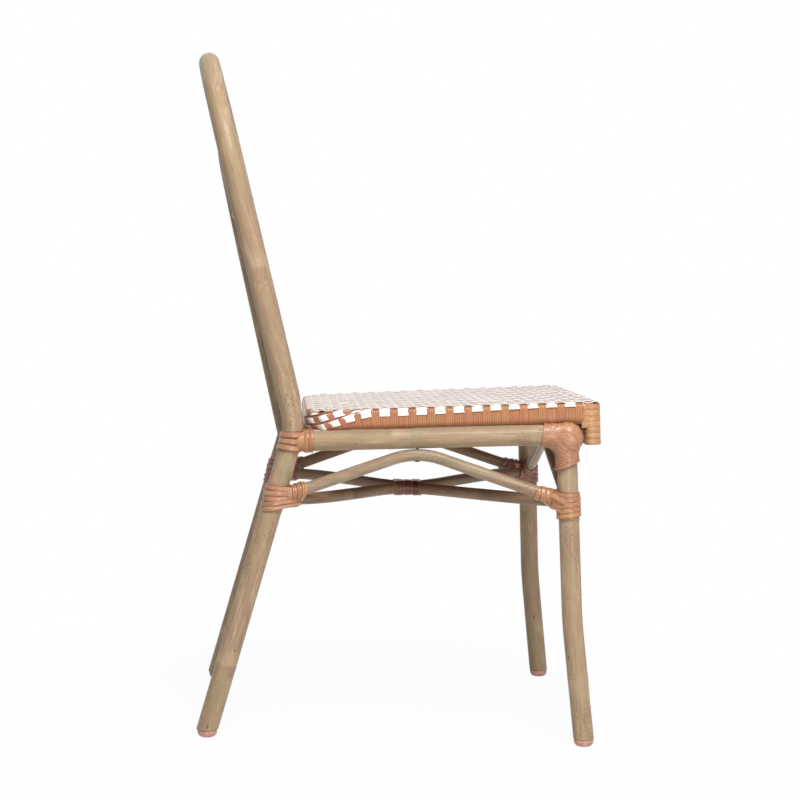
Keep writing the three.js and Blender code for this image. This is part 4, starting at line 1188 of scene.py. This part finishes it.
def bundleRing(work, routes, runs, width=0.0062, seed=None, extra=0.0):
    # A strip round two canes that lie side by side, aslant where its two runs differ
    a, b = (route.at(run) for route, run in zip(routes, runs))
    tangent = (a[3] + b[3]).normalized()
    reach = cane["rod"] + 0.0004 + extra
    beltStrip(work, a[0], reach, b[0], reach, tangent.cross(b[0] - a[0]), width, 0.0014, seed, 0.05)


lowerBinding = {
    "count": 5,
    "pitch": 0.0068,
    "width": 0.0074,
    "tilt": 0.07,
    "rodLift": 0.0022,
    "footZ": {"rear": 0.3025, "front": 0.3015},
    "reach": {"rear": 0.027, "front": 0.024},
    "spread": {"rear": 0.0046, "front": 0.0036},
    "rearCollar": (0.012, 0.0255),
    "rearRings": [(0.0155 + 0.0026 * i, 0.0005 * i) for i in range(9)],
    "rearRingWidth": 0.0042,
    "frontRings": [(0.0170, 0), (0.0215, 0.001), (0.0260, 0.003)],
    "frontRingWidth": 0.0052,
    "archCollar": (0.016, 0.028),
    "archWind": {"start": 0.020, "turns": 3.3, "pitch": 0.0070, "width": 0.0072, "tilt": 0.09},
    "legWind": {"turns": 4.1, "width": 0.0068, "thickness": 0.0014, "tilt": 0.08},
    "legWindFrom": 0.0022,
    "crossBelt": {"low": 0.017, "high": 0.0185, "rise": 0.002, "width": 0.0066},
    "frontArchCollar": (0.010, 0.034),
    "frontArchWind": {"start": 0.016, "turns": 4.4, "pitch": 0.0062, "width": 0.0060, "tilt": 0.08},
}


def makeLowerBinding(sideName, side, end):
    work = Work()
    rear = end == "rear"
    archLine, braceLine = sideArchRoute(side), braceRoute(side)
    if not rear:
        archLine = Route(list(reversed(archLine.points)), axisX)
        braceLine = Route(list(reversed(braceLine.points)), axisZ)
    leg = legRoute(side) if rear else frontTubeRoute(side)
    radius = cane["hoop"] if rear else cane["leg"]
    pair = [archLine, braceLine]
    count, pitch = lowerBinding["count"], lowerBinding["pitch"]
    start = leg.lengthAt(2, lowerBinding["footZ"][end])
    sleeve(work, Skin(leg, radius + sleeveLift), start - 0.001, pitch * count + 0.001, 510)
    reach = lowerBinding["reach"][end]
    middle = (pair[0].at(reach)[0] + pair[1].at(reach)[0]) / 2
    for i in range(count):
        # The fan of strips from the leg to the two canes
        centre = leg.at(start + (i + 0.5) * pitch)[0]
        target = middle + axisZ * (i - 2) * lowerBinding["spread"][end]
        lift = 0.0005 + 0.0005 * (i % 2)
        beltStrip(work, centre, radius + lift, target, cane["rod"] + lowerBinding["rodLift"] + lift, axisX,
                  lowerBinding["width"], seed=520 + i, tilt=lowerBinding["tilt"])
    if rear:
        for line in pair:
            sleeve(work, Skin(line, cane["rod"] + 0.0008), *lowerBinding["rearCollar"], 545)
        for i, (run, slant) in enumerate(lowerBinding["rearRings"]):
            bundleRing(work, pair, (run + slant, run - slant), lowerBinding["rearRingWidth"], 540 + i,
                       0.0010 + 0.0007 * (i % 2))
    else:
        for i, (run, slant) in enumerate(lowerBinding["frontRings"]):
            bundleRing(work, pair, (run + slant, run - slant), lowerBinding["frontRingWidth"], 540 + i,
                       0.0012 + 0.0007 * (i % 2))
        sleeve(work, Skin(archLine, cane["rod"] + 0.0005), *lowerBinding["archCollar"], 545)
        windStrip(work, Skin(archLine, cane["rod"] + stripLift), handed=side, seed=546,
                  **lowerBinding["archWind"])
        windStrip(work, Skin(leg, radius + 0.0016), start + lowerBinding["legWindFrom"], pitch=pitch,
                  handed=side, seed=530, **lowerBinding["legWind"])
        # One strip aslant over all the others, from the leg up to the arch
        belt = lowerBinding["crossBelt"]
        low = leg.at(start + belt["low"])[0]
        high = archLine.at(belt["high"])[0] + axisZ * belt["rise"]
        beltStrip(work, low, radius + 0.0012, high, cane["rod"] + 0.0034, axisX, belt["width"], seed=535)
        front = frontArchRoute()
        if side < 0:
            front = Route(list(reversed(front.points)), axisY)
        sleeve(work, Skin(front, cane["rod"] + sleeveLift), *lowerBinding["frontArchCollar"], 550)
        windStrip(work, Skin(front, cane["rod"] + stripLift), handed=side, **lowerBinding["frontArchWind"])
    # The left bindings take the darker tints, as painted shade
    material = bindingMaterial if side < 0 else leftShadedBindingMaterial
    finishPiece(work, end + "LowerBinding" + sideName, material,
                [end + "_lower_binding_" + sideName.lower()])


corner = {"downLeg": 0.0408, "alongRail": 0.0300, "forward": 0.0042, "down": 0.0042, "knuckle": 0.0172,
          "strips": 28, "turns": 0.70, "thickness": 0.0012, "legSlant": 0.0052, "railSlant": 0.0020,
          "crossStrips": 22, "crossTurns": 1.05, "crossThickness": 0.0009, "crossLift": 0.0002,
          "crossWave": 0.0010, "blend": 0.004, "knuckleBlend": 0.007, "lift": 0.0008, "slantRun": 0.03,
          "steepness": 0.85, "tuck": 0.0024, "hemInset": 0.0012, "hemWidth": 0.0030, "hemThickness": 0.0010,
          "hemLifts": (0.0022, 0.0014), "widest": 0.0125}


def nearestOn(point, first, second):
    run = second - first
    return first + run * min(max((point - first).dot(run) / run.length_squared, 0), 1)


def blended(a, b, reach):
    share = max(reach - abs(a - b), 0) / reach
    return min(a, b) - share * share * reach / 4


def makeCornerBinding(sideName, side):
    work = Work()
    tube = frontTubeRoute(side)
    start = tube.lengthAt(2, seatLevel - corner["downLeg"])
    railY = cornerY + corner["alongRail"]
    end = next(tube.lengths[i] for i in range(len(tube.points) - 1, 0, -1) if tube.points[i - 1].y < railY)
    end -= tube.points[-1].y - railY
    length = end - start
    vertex = Vector((side * cornerHalfWidth, cornerY, seatLevel))
    knuckle = vertex - Vector((0, corner["forward"], corner["down"]))

    def elbow(lift):
        # Rail and leg carried on to their corner, with the knuckle between them
        def depth(point):
            rail = (point - nearestOn(point, vertex, railPoint(side, cornerY + 0.06))).length
            leg = (point - nearestOn(point, vertex, frontLegPoint(side, seatLevel - 0.06))).length
            radius = cane["leg"] + lift
            ball = (point - knuckle).length - corner["knuckle"] - lift
            return blended(blended(rail, leg, corner["blend"]) - radius, ball, corner["knuckleBlend"])
        return depth

    def aslant(s, angle):
        # The ends of the binding run aslant round the cane
        near = max(0, 1 - (s - start) / corner["slantRun"])
        far = max(0, 1 - (end - s) / corner["slantRun"])
        return s + math.cos(angle) * (corner["railSlant"] * far - corner["legSlant"] * near)

    def mainTurn(share):
        # The strips lie steeply at both ends and along the cane in the bend
        return share + corner["steepness"] * math.sin(2 * math.pi * share) / (2 * math.pi)

    def strip(skin, angleAt, spacing, thickness, seed, count=40, liftAt=None, fill=1.1):
        first, last = start + 0.0006, end - 0.0006
        points, ups, spots, widths = [], [], [], []
        for i in range(count + 1):
            s = first + (last - first) * i / count
            share = (s - start) / length
            angle = angleAt(share)
            spot, out = skin.at(aslant(s, angle), angle)
            ahead = skin.spot(aslant(s, angle + 0.05), angle + 0.05)
            behind = skin.spot(aslant(s, angle - 0.05), angle - 0.05)
            lift = liftAt(share, angle) if liftAt else 0
            spots.append(spot)
            points.append(spot + out * (thickness / 2 + lift))
            ups.append(out)
            widths.append((ahead - behind) / 0.1 * spacing)
        for i in range(count + 1):
            along = (spots[min(i + 1, count)] - spots[max(i - 1, 0)]).normalized()
            widths[i] = min((widths[i] - along * widths[i].dot(along)).length * fill, corner["widest"])
        layStrip(work, points, ups, 0.0064, thickness, seed, 0.09, widths, 0.12 / count)

    base = Skin(tube, cane["leg"] + corner["lift"], elbow(-corner["lift"]))
    sleeve(work, base, start, length, 560, lambda s, angle: aslant(s, angle) - s)
    skin = Skin(tube, cane["leg"] + corner["lift"], elbow(-corner["lift"] / 2))
    strips, crossing = corner["strips"], corner["crossStrips"]
    for k in range(strips):

        def turnAt(share, k=k):
            return 2 * math.pi * (k / strips - side * corner["turns"] * mainTurn(share))

        strip(skin, turnAt, 2 * math.pi / strips, corner["thickness"], 570 + k)
    for k in range(crossing):

        def crossTurnAt(share, k=k):
            return 2 * math.pi * (k / crossing + side * corner["crossTurns"] * share)

        def weave(share, angle, k=k):
            # Over and under the first strips, and wholly below them on the smooth faces of the bend
            under = -side * 2 * math.pi * corner["turns"] * mainTurn(share)
            count = (angle - under) * strips / (4 * math.pi)
            face = smooth((abs(math.sin(angle)) - 0.35) / 0.3) * smooth((share - 0.36) / 0.12)
            lift = corner["crossLift"] + corner["crossWave"] * math.cos(math.pi * (count + k))
            return lift - corner["tuck"] * face

        strip(skin, crossTurnAt, 2 * math.pi / crossing, corner["crossThickness"], 600 + k, 96, weave, 0.7)
    # A narrow hem at both ends
    hems = (start + corner["hemInset"], end - corner["hemInset"])
    for place, lift in zip(hems, corner["hemLifts"]):
        points, ups = [], []
        for i in range(37):
            angle = 2 * math.pi * i / 36
            spot, out = skin.at(aslant(place, angle), angle)
            points.append(spot + out * lift)
            ups.append(out)
        layStrip(work, points, ups, corner["hemWidth"], corner["hemThickness"], 620)
    finishPiece(work, "frontCornerBinding" + sideName, cornerMaterial,
                ["front_corner_binding_" + sideName.lower()])


for sideName, side in sides.items():
    makeUpperBinding(sideName, side)
    makeLowerBinding(sideName, side, "rear")
    makeLowerBinding(sideName, side, "front")
    makeCornerBinding(sideName, side)

waistBinding = {"rings": 7, "step": 0.0061}
waistWork = Work()
waistLines = [braceRoute(1), braceRoute(-1)]
middleRun = waistLines[0].lengthAt(1, waist.y)
for i in range(waistBinding["rings"]):
    run = middleRun + (i - waistBinding["rings"] // 2) * waistBinding["step"]
    bundleRing(waistWork, waistLines, (run, run), 0.0066, 600 + i, 0.0002 + 0.0005 * (i % 2))
finishPiece(waistWork, "centreBinding", waistMaterial, ["centre_binding"])
print("bindings made")

# Glides and screws, turned on their own axes
glide = {"radius": 0.013, "flat": 0.007, "height": 0.010, "domeShare": 0.72, "stem": 0.0065,
         "stemTop": 0.021}


def turned(profile, centre, steps=32):
    work = Work()
    bm = work.bm
    verts = [bm.verts.new((r, 0, z)) for r, z in profile]
    edges = [bm.edges.new(pair) for pair in zip(verts, verts[1:])]
    bmesh.ops.spin(bm, geom=[*verts, *edges], cent=(0, 0, 0), axis=(0, 0, 1), dvec=(0, 0, 0),
                   angle=2 * math.pi, steps=steps, use_merge=True)
    bmesh.ops.remove_doubles(bm, verts=bm.verts, dist=0.00001)
    bmesh.ops.translate(bm, verts=bm.verts, vec=centre)
    return work


def glideMaterialMade():
    s = Shader("glideMoulding")
    place = s.node("TexCoord").outputs["Object"]
    cloud = s.noise(place, 220.0, 3.0, 0.6)
    fine = s.noise(place, 2600.0, 2.0, 0.5)
    colour = s.ramp(cloud, [(0.35, srgb(186, 132, 112)), (0.65, srgb(204, 160, 138))])
    return s.finish(colour, s.level(fine, 0.3, 0.7, 0.42, 0.6), fine, 0.0001)


def steelMaterialMade():
    s = Shader("screwSteel")
    place = s.node("TexCoord").outputs["Object"]
    wear = s.noise(place, 900.0, 3.0, 0.6)
    colour = s.ramp(wear, [(0.35, srgb(58, 52, 48)), (0.7, srgb(96, 88, 80))])
    return s.finish(colour, s.level(wear, 0.3, 0.7, 0.28, 0.5), wear, 0.00005, Metallic=0.85)


glideMaterial = glideMaterialMade()
steelMaterial = steelMaterialMade()
for sideName, side in sides.items():
    for end, foot in (("Front", frontLegPoint(side, chair["glideHeight"])),
                      ("Rear", rearLegPoint(side, chair["glideHeight"]))):
        r, h = glide["radius"], glide["height"]
        flat, rise = glide["flat"], h * glide["domeShare"]
        dome = [(flat + (r - flat) * math.sin(a), rise * (1 - math.cos(a))) for a in quarter(7)]
        profile = [(0, 0), *dome, (r, h - 0.0008), (r - 0.0008, h), (glide["stem"], h),
                   (glide["stem"], glide["stemTop"]), (0, glide["stemTop"])]
        work = turned(profile, (foot.x, foot.y, 0))
        finishPiece(work, "glide" + end + sideName, glideMaterial,
                    ["glide_" + end.lower() + "_" + sideName.lower()], 35)

screw = {"radius": 0.002, "head": 0.0045, "headHeight": 0.0024, "grip": 0.009, "seatDepth": 0.001,
         "recess": 0.0011}


def makeScrew(name, spot, node):
    place = Vector((spot.x, spot.y, spot.z - cane["rod"] + screw["seatDepth"]))
    top = 2 * cane["rod"] + screw["grip"]
    dome = [(screw["head"] * math.sin(a), -screw["headHeight"] * math.cos(a)) for a in quarter(6, 1)]
    recess = screw["recess"]
    profile = [(0, -0.0008), (recess, -0.0010), (recess, -screw["headHeight"] * 0.95),
               *dome[2:], (screw["radius"], 0), (screw["radius"], top), (0, top)]
    finishPiece(turned(profile, place, 20), name, steelMaterial, [node], 35)


frontPeak = Vector((0, frontLegPoint(1, frontArchTopZ).y, frontArchTopZ))
makeScrew("frontArchScrew", frontPeak, "front_arch_screw")
for sideName, side in sides.items():
    line = sideArchRoute(side)
    peak = line.at(line.lengthAt(1, archY))[0]
    makeScrew("sideArchScrew" + sideName, peak, "side_arch_screw_" + sideName.lower())


def woodMaterialMade():
    s = Shader("frameWood")
    place = s.node("TexCoord").outputs["Object"]
    stretched = s.node("Mapping", {"Vector": place, "Scale": (18, 420, 420)}).outputs["Vector"]
    figure = s.noise(stretched, 1.0, 4.0, 0.6, 0.5)
    fine = s.noise(place, 1400.0, 2.0, 0.5)
    colour = s.ramp(figure, [(0.3, srgb(126, 98, 70)), (0.5, srgb(158, 128, 96)),
                             (0.7, srgb(172, 144, 110))])
    return s.finish(colour, s.level(fine, 0.3, 0.7, 0.55, 0.72), figure, 0.0003)


woodMaterial = woodMaterialMade()
for node in ("seat_frame", "seat_slat_front", "seat_slat_rear"):
    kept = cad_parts[node]
    kept.data.materials.clear()
    kept.data.materials.append(woodMaterial)
print("glides, screws and frame made")


# Camera at the photograph's view, pale floor and soft light
def makeCamera():
    view = {"location": (-2.59216, 0.14582, 0.59783), "heading": -3.595, "pitch": -3.477, "roll": 1.324,
            "focalPixels": 1832.67, "framePixels": 800, "sensor": 36}
    data = bpy.data.cameras.new("camera")
    data.sensor_width = view["sensor"]
    data.lens = view["focalPixels"] * view["sensor"] / view["framePixels"]
    data.clip_start, data.clip_end = 0.05, 60
    camera = bpy.data.objects.new("camera", data)
    turn = Matrix.Rotation(math.radians(view["heading"] - 90), 4, "Z")
    turn = turn @ Matrix.Rotation(math.radians(90 + view["pitch"]), 4, "X")
    turn = turn @ Matrix.Rotation(math.radians(view["roll"]), 4, "Z")
    camera.matrix_world = Matrix.Translation(view["location"]) @ turn
    scene.collection.objects.link(camera)
    scene.camera = camera


floorLook = {"radius": 9, "grey": 0.8, "shadowFrom": 0.30, "shadowTo": 0.75, "leastGlow": 0.96}


def makeFloor():
    bm = bmesh.new()
    bmesh.ops.create_circle(bm, cap_ends=True, segments=96, radius=floorLook["radius"])
    mesh = bpy.data.meshes.new("floor")
    bm.to_mesh(mesh)
    bm.free()
    floor = bpy.data.objects.new("floor", mesh)
    scene.collection.objects.link(floor)
    s = Shader("paleFloor")
    place = s.node("TexCoord").outputs["Object"]
    reach = s.node("VectorMath", {0: place}, operation="LENGTH").outputs["Value"]
    rays = s.node("LightPath").outputs
    seen = s.sum("MAXIMUM", rays["Is Camera Ray"], s.sum("MAXIMUM", rays["Is Glossy Ray"],
                                                         rays["Is Transmission Ray"]))
    # Near the chair a little of the floor is matt, so that it takes the chair's shadow
    glowing = s.level(reach, floorLook["shadowFrom"], floorLook["shadowTo"], floorLook["leastGlow"], 1.0)
    fade = s.sum("MULTIPLY", glowing, seen)
    grey = floorLook["grey"]
    diffuse = s.node("BsdfDiffuse", {"Color": (grey, grey, grey, 1)})
    glow = s.node("Emission", {"Color": (1, 1, 1, 1), "Strength": 1.0})
    blend = s.node("MixShader", {0: fade, 1: diffuse.outputs[0], 2: glow.outputs[0]})
    s.link(blend.outputs[0], s.output.inputs["Surface"])
    mesh.materials.append(s.material)


def makeWorld(strength):
    world = bpy.data.worlds.new("studio")
    scene.world = world
    world.use_nodes = True
    tree = world.node_tree
    tree.nodes.clear()
    output = tree.nodes.new("ShaderNodeOutputWorld")
    soft, white = tree.nodes.new("ShaderNodeBackground"), tree.nodes.new("ShaderNodeBackground")
    for background in (soft, white):
        background.inputs["Color"].default_value = (1, 1, 1, 1)
    soft.inputs["Strength"].default_value = strength
    rays = tree.nodes.new("ShaderNodeLightPath")
    either, seen = tree.nodes.new("ShaderNodeMath"), tree.nodes.new("ShaderNodeMath")
    either.operation = seen.operation = "MAXIMUM"
    blend = tree.nodes.new("ShaderNodeMixShader")
    link = tree.links.new
    link(rays.outputs["Is Camera Ray"], either.inputs[0])
    link(rays.outputs["Is Glossy Ray"], either.inputs[1])
    link(either.outputs[0], seen.inputs[0])
    link(rays.outputs["Is Transmission Ray"], seen.inputs[1])
    link(seen.outputs[0], blend.inputs[0])
    link(soft.outputs[0], blend.inputs[1])
    link(white.outputs[0], blend.inputs[2])
    link(blend.outputs[0], output.inputs["Surface"])


def makeLamp(name, place, target, size, power):
    data = bpy.data.lights.new(name, "AREA")
    data.shape = "DISK"
    data.size = size
    data.energy = power
    lamp = bpy.data.objects.new(name, data)
    lamp.location = place
    lamp.rotation_euler = (Vector(target) - Vector(place)).to_track_quat("-Z", "Y").to_euler()
    scene.collection.objects.link(lamp)


lamps = {
    "key": {"place": (-1.6, -0.30, 2.45), "target": (0, 0, 0.4), "size": 1.2, "power": 71},
    "fill": {"place": (-1.9, -0.60, 0.12), "target": (0, -0.2, 0.2), "size": 0.6, "power": 11},
}
skyStrength = 0.2
makeCamera()
makeFloor()
makeWorld(skyStrength)
for name, sizes in lamps.items():
    makeLamp(name, **sizes)
scene.view_settings.view_transform = "Standard"
print("camera, floor and light made")
